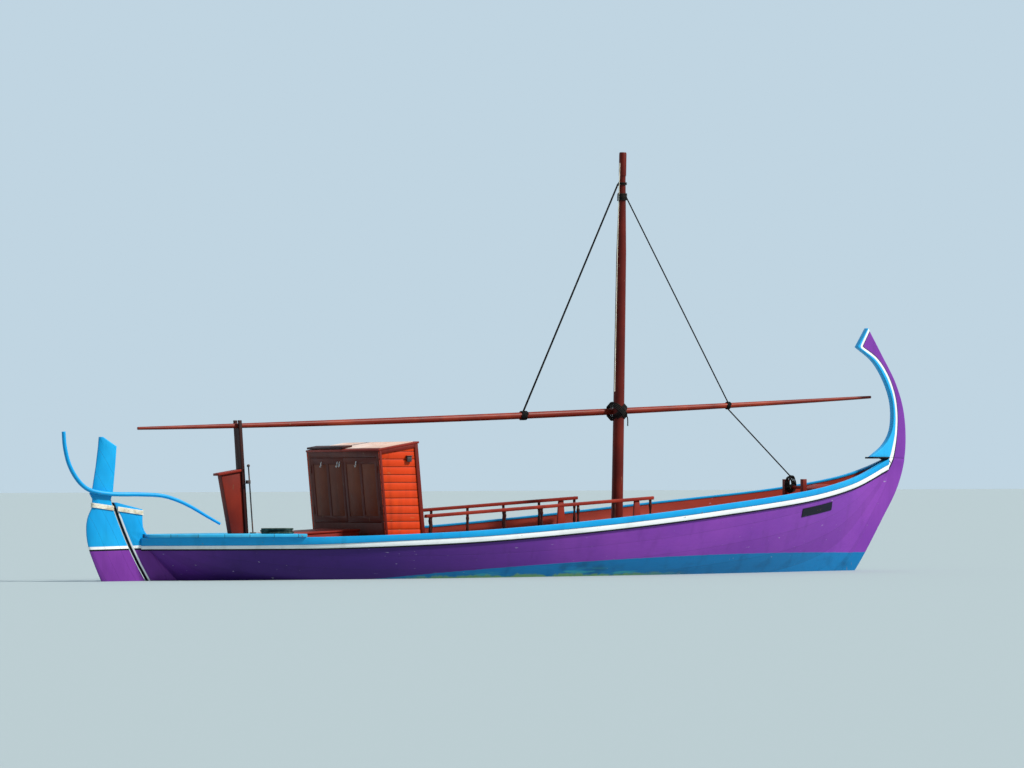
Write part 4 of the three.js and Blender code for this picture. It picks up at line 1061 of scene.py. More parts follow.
def joined(name: str, *pieces: Piece) -> Piece:
    """Makes several pieces one.

    Args:
        name: Name of the whole.
        pieces: What is joined.

    Returns:
        The joined piece.
    """
    clear_selection()
    for piece in pieces:
        piece.select_set(True)
    bpy.context.view_layer.objects.active = pieces[0]
    if len(pieces) > 1:
        bpy.ops.object.join()
    return named(bpy.context.object, name)


NODE_OBJECTS: dict[str, str] = {}  # filled by main with each solid's object name


def eased_copy(node: str, name: str, edge: float = 0.004, angle: float = 35) -> Piece:
    """Copies a node's solid, merges it into flats and eases its edges.

    Args:
        node: The solid.
        name: Name of the copy.
        edge: Width of the eased edges.
        angle: Edges sharper than this many degrees are eased.

    Returns:
        The copy.
    """
    source = bpy.data.objects[NODE_OBJECTS[node]]
    copy = bpy.data.objects.new(name, source.data.copy())
    bpy.context.collection.objects.link(copy)
    copy.data.materials.clear()
    edit(
        copy,
        lambda: bpy.ops.mesh.remove_doubles(threshold=0.00005),
        lambda: bpy.ops.mesh.dissolve_limited(angle_limit=math.radians(0.4)),
    )
    return rounded(named(copy, name), edge, angle=angle)


def fit(piece: Piece, body: Body, slot: Slot, finish: Finish, *nodes: str) -> Piece:
    """Paints a piece, puts it on its body and hides the solids that it stands for.

    Args:
        piece: The piece.
        body: What it moves with.
        slot: A material slot; not used.
        finish: Its finish.
        nodes: Solids that it replaces.

    Returns:
        The same piece.
    """
    piece.data.materials.clear()
    piece.data.materials.append(finish.material())
    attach(piece, body.value)
    if nodes:
        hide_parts(*nodes)
    LOG.info("%s: %d faces on %s", piece.name, len(piece.data.polygons), body.value)
    return piece


def dressed_copy(
    node: str, name: str, body: Body, slot: Slot, finish: Finish, edge: float = 0.004, angle: float = 35,
) -> Piece:
    """Puts an eased copy in a solid's place and dresses it."""
    return fit(eased_copy(node, name, edge, angle), body, slot, finish, node)


def paint_node(node: str, finish: Finish) -> None:
    """Gives a solid that stays in view its finish.

    Args:
        node: The solid.
        finish: Its finish.
    """
    for slot in bpy.data.objects[NODE_OBJECTS[node]].material_slots:
        slot.material = finish.material()
    LOG.info("%s painted", node)


# The boat's lines


@dataclass(frozen=True)
class Station:
    """One cross section of the hull.

    Attributes:
        x: Its place.
        beam: Half beam at the sheer.
        sheer: Height of the sheer.
        rabbet: Height where the planks meet the keel.
        vee: From a round section (0) to a straight vee (1).
    """

    x: float
    beam: float
    sheer: float
    rabbet: float
    vee: float


@dataclass
class Lines:
    """The shape of the planked hull, from its stations.

    Attributes:
        plank: Thickness of the planking.
        post_half: Half thickness of the keel and posts.
        stations: The stations from aft forward.
    """

    plank: float = 0.036
    post_half: float = 0.045
    stations: tuple[Station, ...] = tuple(Station(*row) for row in (
        (-5.010, 0.054, 0.525, 0.480, 1.0), (-4.930, 0.150, 0.525, 0.405, 1.0),
        (-4.720, 0.330, 0.525, 0.200, 1.0), (-4.520, 0.460, 0.525, 0.000, 0.95),
        (-4.200, 0.640, 0.525, -0.230, 0.8), (-3.600, 0.885, 0.525, -0.420, 0.55),
        (-3.000, 1.055, 0.5265, -0.510, 0.35), (-2.000, 1.215, 0.550, -0.560, 0.15),
        (-1.000, 1.285, 0.588, -0.570, 0.05), (0.000, 1.300, 0.650, -0.570, 0.0),
        (1.000, 1.285, 0.728, -0.570, 0.05), (2.000, 1.215, 0.820, -0.570, 0.15),
        (3.000, 1.055, 0.920, -0.560, 0.35), (3.600, 0.912, 0.980, -0.545, 0.5),
        (4.200, 0.722, 1.044, -0.490, 0.7), (4.600, 0.570, 1.096, -0.400, 0.85),
        (5.000, 0.405, 1.162, -0.215, 0.95), (5.300, 0.275, 1.224, 0.050, 1.0),
        (5.500, 0.190, 1.278, 0.310, 1.0), (5.740, 0.108, 1.364, 0.690, 1.0),
        (5.900, 0.066, 1.432, 0.960, 1.0), (6.010, 0.054, 1.478, 1.190, 1.0),
    ))

    def along(self, column: str, x: float) -> float:
        """A value of the stations at any place, on a smooth curve.

        Args:
            column: Which value.
            x: The place.

        Returns:
            The value there.
        """
        rows = self.stations
        last = len(rows) - 1
        low = next((row for row in range(last) if x <= rows[row + 1].x), last - 1)

        def slope(row: int) -> float:
            """Slope of the curve at a station."""
            before, after = rows[max(row - 1, 0)], rows[min(row + 1, last)]
            return (getattr(after, column) - getattr(before, column)) / (after.x - before.x)

        start, end = rows[low], rows[low + 1]
        span = end.x - start.x
        share = (x - start.x) / span
        rise = getattr(end, column) - getattr(start, column)
        lean = (1 - share) * (slope(low) * span - rise) - share * (slope(low + 1) * span - rise)
        return getattr(start, column) + rise * share + share * (1 - share) * lean

    def breadth(self, x: float, z: float) -> float:
        """Half breadth of the outside of the planks at a place and height.

        Args:
            x: Place along the boat.
            z: Height.

        Returns:
            The half breadth.
        """
        beam, sheer, rabbet = (self.along(column, x) for column in ("beam", "sheer", "rabbet"))
        vee = min(self.along("vee", x), 1.0)
        depth = min(max((sheer - z) / (sheer - rabbet), 0.0), 1.0)
        cosine = depth ** (1 / (1.3 + 0.6 * vee))
        sine = math.sqrt(1 - cosine * cosine)
        return self.post_half + 0.001 + (beam - self.post_half - 0.001) * sine ** (0.85 + vee)

    def side(self, x: float, inset: float, under: float, steps: int) -> list[Flat]:
        """Points of one section from the keel up, as (y, z).

        Args:
            x: Place along the boat.
            inset: Distance inside the planks' outer face.
            under: How far under the sheer it ends.
            steps: Steps from keel to top.

        Returns:
            The points.
        """
        bend = 1.3 + 0.6 * min(self.along("vee", x), 1.0)
        top = self.along("sheer", x) - under
        low = min(self.along("rabbet", x) + inset, top - 0.004)
        points = []
        for step in range(steps + 1):
            rise = 1 - math.cos(step / steps * math.pi / 2) ** bend
            z = low + (top - low) * rise
            points.append((max(self.breadth(x, z) - inset, 0.003), z))
        return points

    def places(self, start: float, end: float, step: float = 0.1) -> list[float]:
        """Even places along the boat between two ends."""
        count = max(2, math.ceil((end - start) / step))
        return [start + (end - start) * place / count for place in range(count + 1)]


LINES = Lines()


# Sub-assemblies


@dataclass
class Hull:
    """Planking, timbers and the strips along the sheer.

    Attributes:
        cap: The planks end this far under the sheer.
        steps: Points up each side of the planking.
        gunwale: Height of the gunwale strip.
        proud: How far it stands out from the planks.
        strake: Height of the white strake.
        below: Its lower edge under the sheer.
        bead: Height of the dark bead under it.
        bite: How far strips reach into the planks.
        stem_outer: Outer edge of the stem, from the keel up.
        stem_inner: Its inner edge, from the ledge up.
        paint_line: Edge of the purple, from the stem head down and aft.
        strake_proud: How far the white strake stands out.
        bead_proud: How far the bead stands out.
    """

    cap: float = 0.0264
    steps: int = 22
    gunwale: float = 0.074
    proud: float = 0.030
    strake: float = 0.065
    below: float = 0.140
    bead: float = 0.018
    bite: float = 0.006
    stem_outer: tuple[Flat, ...] = (
        (3.600, -0.690), (4.150, -0.668), (4.700, -0.560), (5.150, -0.290), (5.490, 0.030),
        (5.920, 0.690), (6.170, 1.120), (6.292, 1.560), (6.282, 2.060), (6.150, 2.480), (5.920, 2.870),
        (5.706, 3.218),
    )
    stem_inner: tuple[Flat, ...] = (
        (5.750, 1.5044), (5.960, 1.660), (6.076, 1.840), (6.108, 2.060), (6.080, 2.290),
        (5.970, 2.550), (5.800, 2.780), (5.542, 2.962),
    )
    paint_line: tuple[Flat, ...] = (
        (5.622, 2.972), (5.852, 2.822), (6.022, 2.606), (6.134, 2.345), (6.176, 2.081), (6.164, 1.800),
        (6.118, 1.520), (6.060, 1.390), (6.000, 1.322), (5.600, 1.148), (5.000, 1.010),
    )
    strake_proud: float = 0.022
    bead_proud: float = 0.019

    def __post_init__(self) -> None:
        """Draws the painted line from the stem head down the stem."""
        curve = smooth_line([(x, 0, z) for x, z in self.paint_line], 0.03)
        self.painted = [Vector((5.770, 3.240)), Vector((5.722, 3.150))] + [at.xz for at in curve]

    def build(self) -> None:
        """Builds and dresses the whole hull."""
        fit(self.planking(), Body.HULL, Slot.HULL, PURPLE, "hull_planking")
        fit(self.stem(), Body.HULL, Slot.HULL, STEM_BANDS, "stem")
        fit(self.stern_post(), Body.HULL, Slot.HULL, POST_BANDS, "stern_post")
        for side in Side:
            fit(self.sheer_strip(side), Body.HULL, Slot.BLUE, SKY_BLUE, f"gunwale_{side.word}")
            white = self.strip(
                f"white_band_{side.word}", self.below, self.strake, self.strake_proud, side, self.narrowing,
            )
            fit(white, Body.HULL, Slot.WHITE, WHITE, f"white_strake_{side.word}")
            bead, tall = self.below + self.bead, self.bead - GAP
            line = self.strip(f"dark_bead_{side.word}", bead, tall, self.bead_proud, side, lambda x: 0.0)
            fit(line, Body.HULL, Slot.BROWN, LINE)
            paint_node(f"number_plate_{side.word}", PLATE_DARK)
        paint_node("keel", PURPLE)

    def planking(self) -> Piece:
        """The skin of planks with its thickness, smooth over many sections.

        Returns:
            The piece, with its girth share and its inner side at every point.
        """
        inner_steps = self.steps // 2
        rings = []
        for x in LINES.places(-5.010, 6.010, 0.085):
            outer = LINES.side(x, 0.0, self.cap, self.steps)
            inner = LINES.side(x, LINES.plank, self.cap, inner_steps)
            port = [(x, y, z) for y, z in outer] + [(x, y, z) for y, z in reversed(inner)]
            rings.append(mirrored(port))
        piece = skinned("planked_skin", rings)
        girth = [step / self.steps for step in range(self.steps + 1)]
        girth += [step / inner_steps for step in range(inner_steps, -1, -1)]
        inside = [0.0] * (self.steps + 1) + [1.0] * (inner_steps + 1)
        marks = list(zip(girth + girth[::-1], inside + inside[::-1]))
        places = {}
        for ring in rings:
            places.update((self._key(point), mark) for point, mark in zip(ring, marks))
        for place, name in enumerate(("girth", "inside")):
            measured(piece, name, lambda at, place=place: places.get(self._key(at), (0.5, 0.0))[place])
        return rounded(piece, 0, angle=50)

    def _key(self, point: Sequence[float]) -> tuple[float, ...]:
        """A point rounded to a tenth of a millimetre, by which it is found again."""
        return tuple(round(value, 4) for value in point)

    def stem(self) -> Piece:
        """The tall stem, with the distance from its painted line at every point.

        Returns:
            The piece.
        """
        outer = [at.xz for at in smooth_line([(x, 0, z) for x, z in self.stem_outer], 0.045)]
        inner = [at.xz for at in smooth_line([(x, 0, z) for x, z in self.stem_inner], 0.045)]
        rabbet = [Vector((x, LINES.along("rabbet", x) - GAP)) for x in LINES.places(3.6, 6.0104, 0.09)]
        low_inner = [*rabbet, Vector((6.0104, 1.5044)), Vector((5.750, 1.5044))]
        low_outer = [at for at in outer if at.y < 1.50]
        high_outer = [low_outer[-1]] + [at for at in outer if at.y >= 1.50]
        pieces = [self._timber("low", low_inner, low_outer), self._timber("high", inner, high_outer)]
        piece = joined("stem_timber", *pieces)
        measured(piece, "line", self._from_line)
        return piece

    def _timber(self, name: str, inner: list[Vector], outer: list[Vector]) -> Piece:
        """One flat-sided timber between an inner and an outer edge.

        Args:
            name: Its name.
            inner: Points of the inner edge.
            outer: Points of the outer edge.

        Returns:
            The piece.
        """
        count, across = 70, 12
        rings = []
        for place in range(count + 1):
            share = place / count
            start, end = self._point_at(inner, share), self._point_at(outer, share)
            port = [start.lerp(end, step / across) for step in range(across + 1)]
            rings.append(mirrored([(at.x, LINES.post_half, at.y) for at in port]))
        return rounded(skinned(f"{name} timber", rings), 0.006, 2, 50)

    def _point_at(self, line: list[Vector], share: float) -> Vector:
        """Point of a line at a share of its length.

        Args:
            line: Points of the line.
            share: From 0 to 1.

        Returns:
            The point.
        """
        lengths = [0.0]
        for start, end in zip(line, line[1:]):
            lengths.append(lengths[-1] + (end - start).length)
        goal = share * lengths[-1]
        row = next((row for row in range(len(line) - 1) if goal <= lengths[row + 1]), len(line) - 2)
        span = max(lengths[row + 1] - lengths[row], 1e-9)
        return line[row].lerp(line[row + 1], (goal - lengths[row]) / span)

    def _from_line(self, at: Vector) -> float:
        """Distance from the painted line: positive on the purple side.

        Args:
            at: Where it is measured.

        Returns:
            The distance.
        """
        flat = Vector((at.x, at.z))
        best, sign = 1e9, 1.0
        for start, end in zip(self.painted, self.painted[1:]):
            run = end - start
            share = min(max((flat - start).dot(run) / run.length_squared, 0), 1)
            away = flat - (start + run * share)
            if away.length < best:
                best = away.length
                sign = 1.0 if run.x * away.y - run.y * away.x > 0 else -1.0
        widening = 1 + min(max((1.80 - at.z) / 0.35, 0.0), 1.0)
        return best * sign / widening

    def stern_post(self) -> Piece:
        """The post that closes the hull aft, with its after edge marked for painted gap shade and a white
        line.

        Returns:
            The piece.
        """
        piece = eased_copy("stern_post", "stern_post_timber", 0.003, 30)
        measured(piece, "edge", lambda at: 1.0)
        return piece

    def sheer_strip(self, side: Side) -> Piece:
        """The gunwale along one side.

        Args:
            side: Its side of the boat.

        Returns:
            The piece.
        """
        rings = []
        for x in LINES.places(-5.016, 6.010, 0.11):
            sheer = LINES.along("sheer", x)
            low, cap = sheer - self.gunwale - self.narrowing(x), sheer - self.cap
            inner = max(LINES.breadth(x, sheer) - LINES.plank - 0.012, 0.008)
            corners = [
                (self.back(x, low), low),
                (LINES.breadth(x, low) + self.proud, low),
                (LINES.breadth(x, sheer) + self.proud, sheer),
                (inner, sheer),
                (inner, cap + GAP),
                (self.back(x, cap), cap + GAP),
            ]
            rings.append([(x, side.value * y, z) for y, z in corners])
        return rounded(skinned(f"sheer_strip_{side.word}", rings), 0.006, 2, 40)

    def back(self, x: float, z: float) -> float:
        """Back of a strip: a little inside the planks' face, and clear of the posts."""
        return max(LINES.breadth(x, z) - self.bite, LINES.post_half + GAP)

    def narrowing(self, x: float) -> float:
        """How much the white strake loses in height towards the stern."""
        share = min(max((-1.5 - x) / 2.5, 0.0), 1.0)
        return 0.023 * share * share * (3 - 2 * share)

    def strip(
        self, name: str, below: float, tall: float, proud: float, side: Side, less: Callable[[float], float],
    ) -> Piece:
        """A strip on the outside of the planks.

        Args:
            name: Its name.
            below: How far its lower edge lies under the sheer.
            tall: Its height.
            proud: How far it stands out.
            side: Its side of the boat.
            less: What its height loses at a place.

        Returns:
            The piece.
        """
        rings = []
        for x in LINES.places(-5.014, 6.008, 0.11):
            low = LINES.along("sheer", x) - below
            height = tall - less(x)
            corners = [
                (self.back(x, low), low),
                (LINES.breadth(x, low) + proud, low),
                (LINES.breadth(x, low + height) + proud, low + height),
                (self.back(x, low + height), low + height),
            ]
            rings.append([(x, side.value * y, z) for y, z in corners])
        return rounded(skinned(name, rings), min(0.005, tall / 4), 2, 40)


@dataclass
class Decks:
    """Decks, bulkheads, the stern platform and what lines the hold.

    Attributes:
        platform_low: Underside of the stern platform.
        platform_top: Its top.
        platform_aft: Its after end.
        platform_fore: Its fore end.
        overhang: How far it reaches over the gunwales.
    """

    platform_low: float = 0.526
    platform_top: float = 0.566
    platform_aft: float = -4.960
    platform_fore: float = -3.250
    overhang: float = 0.054

    def build(self) -> None:
        """Builds and dresses the decks."""
        fit(self.platform(), Body.HULL, Slot.BLUE, PLATFORM_BLUE, "aft_platform")
        for node in ("aft_deck", "side_deck", "fore_deck", "fore_bulkhead", "aft_bulkhead"):
            paint_node(node, DECK_RED)
        for node in ("frames_and_keelson", "hold_floor", "engine_bearers"):
            paint_node(node, BARE_WOOD)
        dressed_copy("hold_coaming", "hold_edge_boards", Body.HULL, Slot.RED, RED_BROWN)
        dressed_copy("bow_shelf", "bow_ledge", Body.HULL, Slot.BROWN, LINE)
        dressed_copy("mast_thwart", "mast_beam", Body.HULL, Slot.RED, RED_BROWN)
        dressed_copy("fore_hatch", "fore_hatch_cover", Body.HULL, Slot.RED, RED_BROWN, 0.008)

    def platform(self) -> Piece:
        """The raised platform over the gunwales at the stern.

        Returns:
            The piece.
        """
        port = []
        for x in LINES.places(self.platform_aft, self.platform_fore, 0.06):
            port.append((x, LINES.breadth(x, LINES.along("sheer", x)) + self.overhang, self.platform_low))
        push = (0, 0, self.platform_top - self.platform_low)
        return pushed_out("stern_platform", mirrored(port), push, 0.007)


@dataclass
class Cabin:
    """The small leaning cabin with its two doors.

    Attributes:
        aft: After face at deck height.
        fore: Fore face at deck height.
        half: Half its width.
        wall: Thickness of its walls.
        lean: How far it leans aft for each metre up.
        deck: Height of the deck.
        roof_aft: Underside of the roof at its after edge.
        slope: Rise of the roof for each metre forward.
        planks: Planks up each side.
        leaf: Inner and outer edge of a door leaf.
        panel: Foot and head of a panel in it.
        port_hooks: Places of the hooks on the port leaf.
        starboard_hooks: Places of the hooks on the starboard leaf.
        vent_place: The vent: distance abaft the fore face, and height.
    """

    aft: float = -2.090
    fore: float = -1.540
    half: float = 0.950
    wall: float = 0.022
    lean: float = 0.09
    deck: float = 0.320
    roof_aft: float = 1.575
    slope: float = 0.17
    planks: int = 14
    leaf: Flat = (0.0035, 0.865)
    panel: Flat = (0.772, 1.418)
    port_hooks: tuple[float, ...] = (0.57, 0.14, 0.08)
    starboard_hooks: tuple[float, ...] = (0.35,)
    vent_place: Flat = (0.145, 1.475)

    def at(self, x: float, z: float) -> Flat:
        """A point that stands over a place at the deck, leaning aft."""
        return (x - (z - self.deck) * self.lean, z)

    def roof(self, x: float) -> float:
        """Height at which a leaning line from the deck meets the roof.

        Args:
            x: Foot of the line, at deck height.

        Returns:
            The height.
        """
        across = x - self.at(self.aft, self.roof_aft)[0]
        top = self.roof_aft - GAP + self.slope * (across + self.deck * self.lean)
        return top / (1 + self.lean * self.slope)

    def build(self) -> None:
        """Builds and dresses the cabin."""
        for side in Side:
            word = side.word
            fit(self.planked_side(side), Body.HULL, Slot.ORANGE, ORANGE, f"cabin_side_{word}")
            # The corner strips' dark red is partly their own paint and partly painted shade, standing for the
            # shaded fore corner post.
            fit(self.corner_posts(side), Body.HULL, Slot.RED, RED_UPRIGHT)
            body = Body.DOOR_PORT if side is Side.PORT else Body.DOOR_STARBOARD
            dressed_copy(f"cabin_door_{word}", f"door_leaf_{word}", body, Slot.BROWN, DOOR_BROWN, 0.003)
            fit(self.panels(side), body, Slot.BROWN, PANEL_BROWN)
            fit(self.hooks(side), body, Slot.IRON, STEEL)
        fit(self.front(), Body.HULL, Slot.ORANGE, ORANGE_FORE, "cabin_front")
        dressed_copy("cabin_door_frame", "door_surround", Body.HULL, Slot.BROWN, DOOR_BROWN, 0.003)
        dressed_copy("cabin_roof", "roof_boards", Body.HULL, Slot.RED, RED_BROWN, 0.005)
        fit(self.roof_skin(), Body.HULL, Slot.RED, ROOF_PALE)
        fit(self.roof_plank(), Body.HULL, Slot.RED, CRUTCH_DARK)
        fit(self.vent(), Body.HULL, Slot.IRON, IRON)

    def planked_side(self, side: Side) -> Piece:
        """Horizontal planks with a groove between each two.

        Args:
            side: Its side of the boat.

        Returns:
            The piece.
        """
        low = self.deck + GAP
        tops = (self.roof(self.aft), self.roof(self.fore))
        near, far = sorted((side.value * self.half, side.value * (self.half - self.wall)))
        pitch = (max(tops) - low) / self.planks
        pieces = []
        for plank in range(self.planks):
            bottom = low + plank * pitch
            top = bottom + pitch - 0.0006
            corners = [self.at(self.aft, min(bottom, tops[0])), self.at(self.fore, bottom)]
            corners.append(self.at(self.fore, min(top, tops[1])))
            if top <= tops[0]:
                corners.append(self.at(self.aft, top))
            elif bottom < tops[0]:
                share = (top - tops[0]) / (tops[1] - tops[0])
                place = self.aft + (self.fore - self.aft) * min(max(share, 0.02), 1)
                corners += [self.at(place, min(top, tops[1])), self.at(self.aft, tops[0])]
            else:
                shares = [(level - tops[0]) / (tops[1] - tops[0]) for level in (top, bottom)]
                places = [self.aft + (self.fore - self.aft) * min(max(share, 0), 0.98) for share in shares]
                corners[0] = self.at(places[1], bottom)
                corners.append(self.at(places[0], min(top, tops[1])))
            pieces.append(sawn(f"plank {plank}", corners, near, far, 0.003))
        return joined(f"cabin_planks_{side.word}", *pieces)

    def corner_posts(self, side: Side) -> Piece:
        """Strips over the corners and under the roof edge.

        Args:
            side: Its side of the boat.

        Returns:
            The piece.
        """
        near, far = sorted((side.value * (self.half + GAP), side.value * (self.half + 0.014)))
        low = self.deck + GAP
        pieces = []
        for start, end in ((self.aft, self.aft + 0.028), (self.fore - 0.05, self.fore)):
            corners = [self.at(start, low), self.at(end, low), self.at(end, self.roof(end))]
            corners.append(self.at(start, self.roof(start)))
            pieces.append(sawn("post", corners, near, far, 0.003))
        start, end = self.aft + 0.0285, self.fore - 0.0505
        tops = [self.at(place, self.roof(place)) for place in (start, end)]
        under = [self.at(place, self.roof(place) - 0.04) for place in (end, start)]
        pieces.append(sawn("fascia", tops + under, near, far, 0.003))
        return joined(f"corner_posts_{side.word}", *pieces)

    def panels(self, side: Side) -> Piece:
        """Two raised panels in one door leaf, in a lighter brown.

        Args:
            side: Its side of the boat.

        Returns:
            The piece.
        """
        (near, far), stile = self.leaf, 0.062
        wide = (far - near - 3 * stile) / 2
        low, high = self.panel
        back, face = self.aft + 0.0030, self.aft + 0.0068
        corners = [self.at(back, low), self.at(face, low), self.at(face, high), self.at(back, high)]
        pieces = []
        for column in range(2):
            start = near + stile + column * (wide + stile) + 0.006
            edges = sorted((side.value * start, side.value * (start + wide - 0.012)))
            pieces.append(sawn("panel", corners, edges[0], edges[1], 0.0015))
        return joined(f"door_panels_{side.word}", *pieces)

    def hooks(self, side: Side) -> Piece:
        """Bright hooks near the head of a door leaf.

        Args:
            side: Its side of the boat.

        Returns:
            The piece.
        """
        x, z = self.at(self.aft - 0.006, 1.452)
        bends = ((0.0, 0.0), (0.007, 0.02), (0.009, 0.055), (0.018, 0.070), (0.024, 0.052))
        pieces = []
        for y in self.port_hooks if side is Side.PORT else self.starboard_hooks:
            loop = [(x - aft, side.value * y, z - down) for aft, down in bends]
            pieces.append(laid_rope("hook", loop, 0.0055, 400))
        return joined(f"door_hooks_{side.word}", *pieces)

    def front(self) -> Piece:
        """The boarded fore wall.

        Returns:
            The piece.
        """
        inner = self.half - self.wall - GAP
        start, end = self.fore - self.wall, self.fore
        pieces = []
        for board in range(8):
            near = -inner + board * inner / 4
            corners = [self.at(start, self.deck + GAP), self.at(end, self.deck + GAP)]
            corners += [self.at(end, self.roof(end)), self.at(start, self.roof(start))]
            pieces.append(sawn(f"board {board}", corners, near + 0.0003, near + inner / 4 - 0.0003, 0.004))
        return joined("cabin_fore_boards", *pieces)

    def roof_skin(self) -> Piece:
        """Pale sheathing on the roof inside a border.

        Returns:
            The piece.
        """
        low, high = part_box("cabin_roof")
        border, thick = 0.055, 0.007
        ends = (low[0] + border, high[0] - border)
        under = [(x, high[2] - (high[0] - x) * self.slope + GAP) for x in ends]
        corners = under + [(x, z + thick) for x, z in reversed(under)]
        return sawn("roof_sheathing", corners, low[1] + border, high[1] - border, 0.002)

    def roof_plank(self) -> Piece:
        """A dark board along the after edge of the roof, from the port side to the middle.

        Returns:
            The piece.
        """
        low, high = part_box("cabin_roof")
        ends = (low[0] + 0.012, low[0] + 0.150)
        under = [(x, high[2] - (high[0] - x) * self.slope + 0.0082) for x in ends]
        corners = under + [(x, z + 0.024) for x, z in reversed(under)]
        return sawn("roof_plank", corners, 0.0, high[1] - 0.01, 0.003)

    def vent(self) -> Piece:
        """A small dark fitting high on the starboard side.

        Returns:
            The piece.
        """
        x, z = self.at(self.fore - self.vent_place[0], self.vent_place[1])
        near = -self.half - GAP
        body = block("vent body", (x - 0.032, near - 0.034, z - 0.034), (x + 0.032, near, z + 0.034), 0.006)
        hood = block("vent hood", (x - 0.04, near - 0.042, z + 0.0344), (x + 0.04, near, z + 0.044), 0.003)
        return joined("cabin_vent", body, hood)


@dataclass
class Machinery:
    """Engine, its box and lid, and the shaft and propeller.

    Attributes:
        cast_edge: Width of the engine's rounded edges.
        blade_angle: Edges of the propeller that turn by fewer degrees are shaded smooth.
    """

    cast_edge: float = 0.018
    blade_angle: float = 45

    def build(self) -> None:
        """Builds and dresses the machinery."""
        dressed_copy("engine_box", "engine_box_boards", Body.HULL, Slot.RED, RED_BROWN)
        dressed_copy("engine_lid", "engine_lid_boards", Body.ENGINE_LID, Slot.RED, RED_BROWN)
        dressed_copy("engine", "engine_block", Body.HULL, Slot.ENGINE, ENGINE_GREY, self.cast_edge)
        dressed_copy("stern_tube", "stern_tube_casing", Body.HULL, Slot.BRONZE, BRONZE, 0.002)
        dressed_copy("propeller_shaft", "shaft_bar", Body.PROPELLER, Slot.BRONZE, BRONZE, 0.001)
        dressed_copy(
            "propeller", "bronze_propeller", Body.PROPELLER, Slot.BRONZE, BRONZE,
            edge=0.0, angle=self.blade_angle,
        )


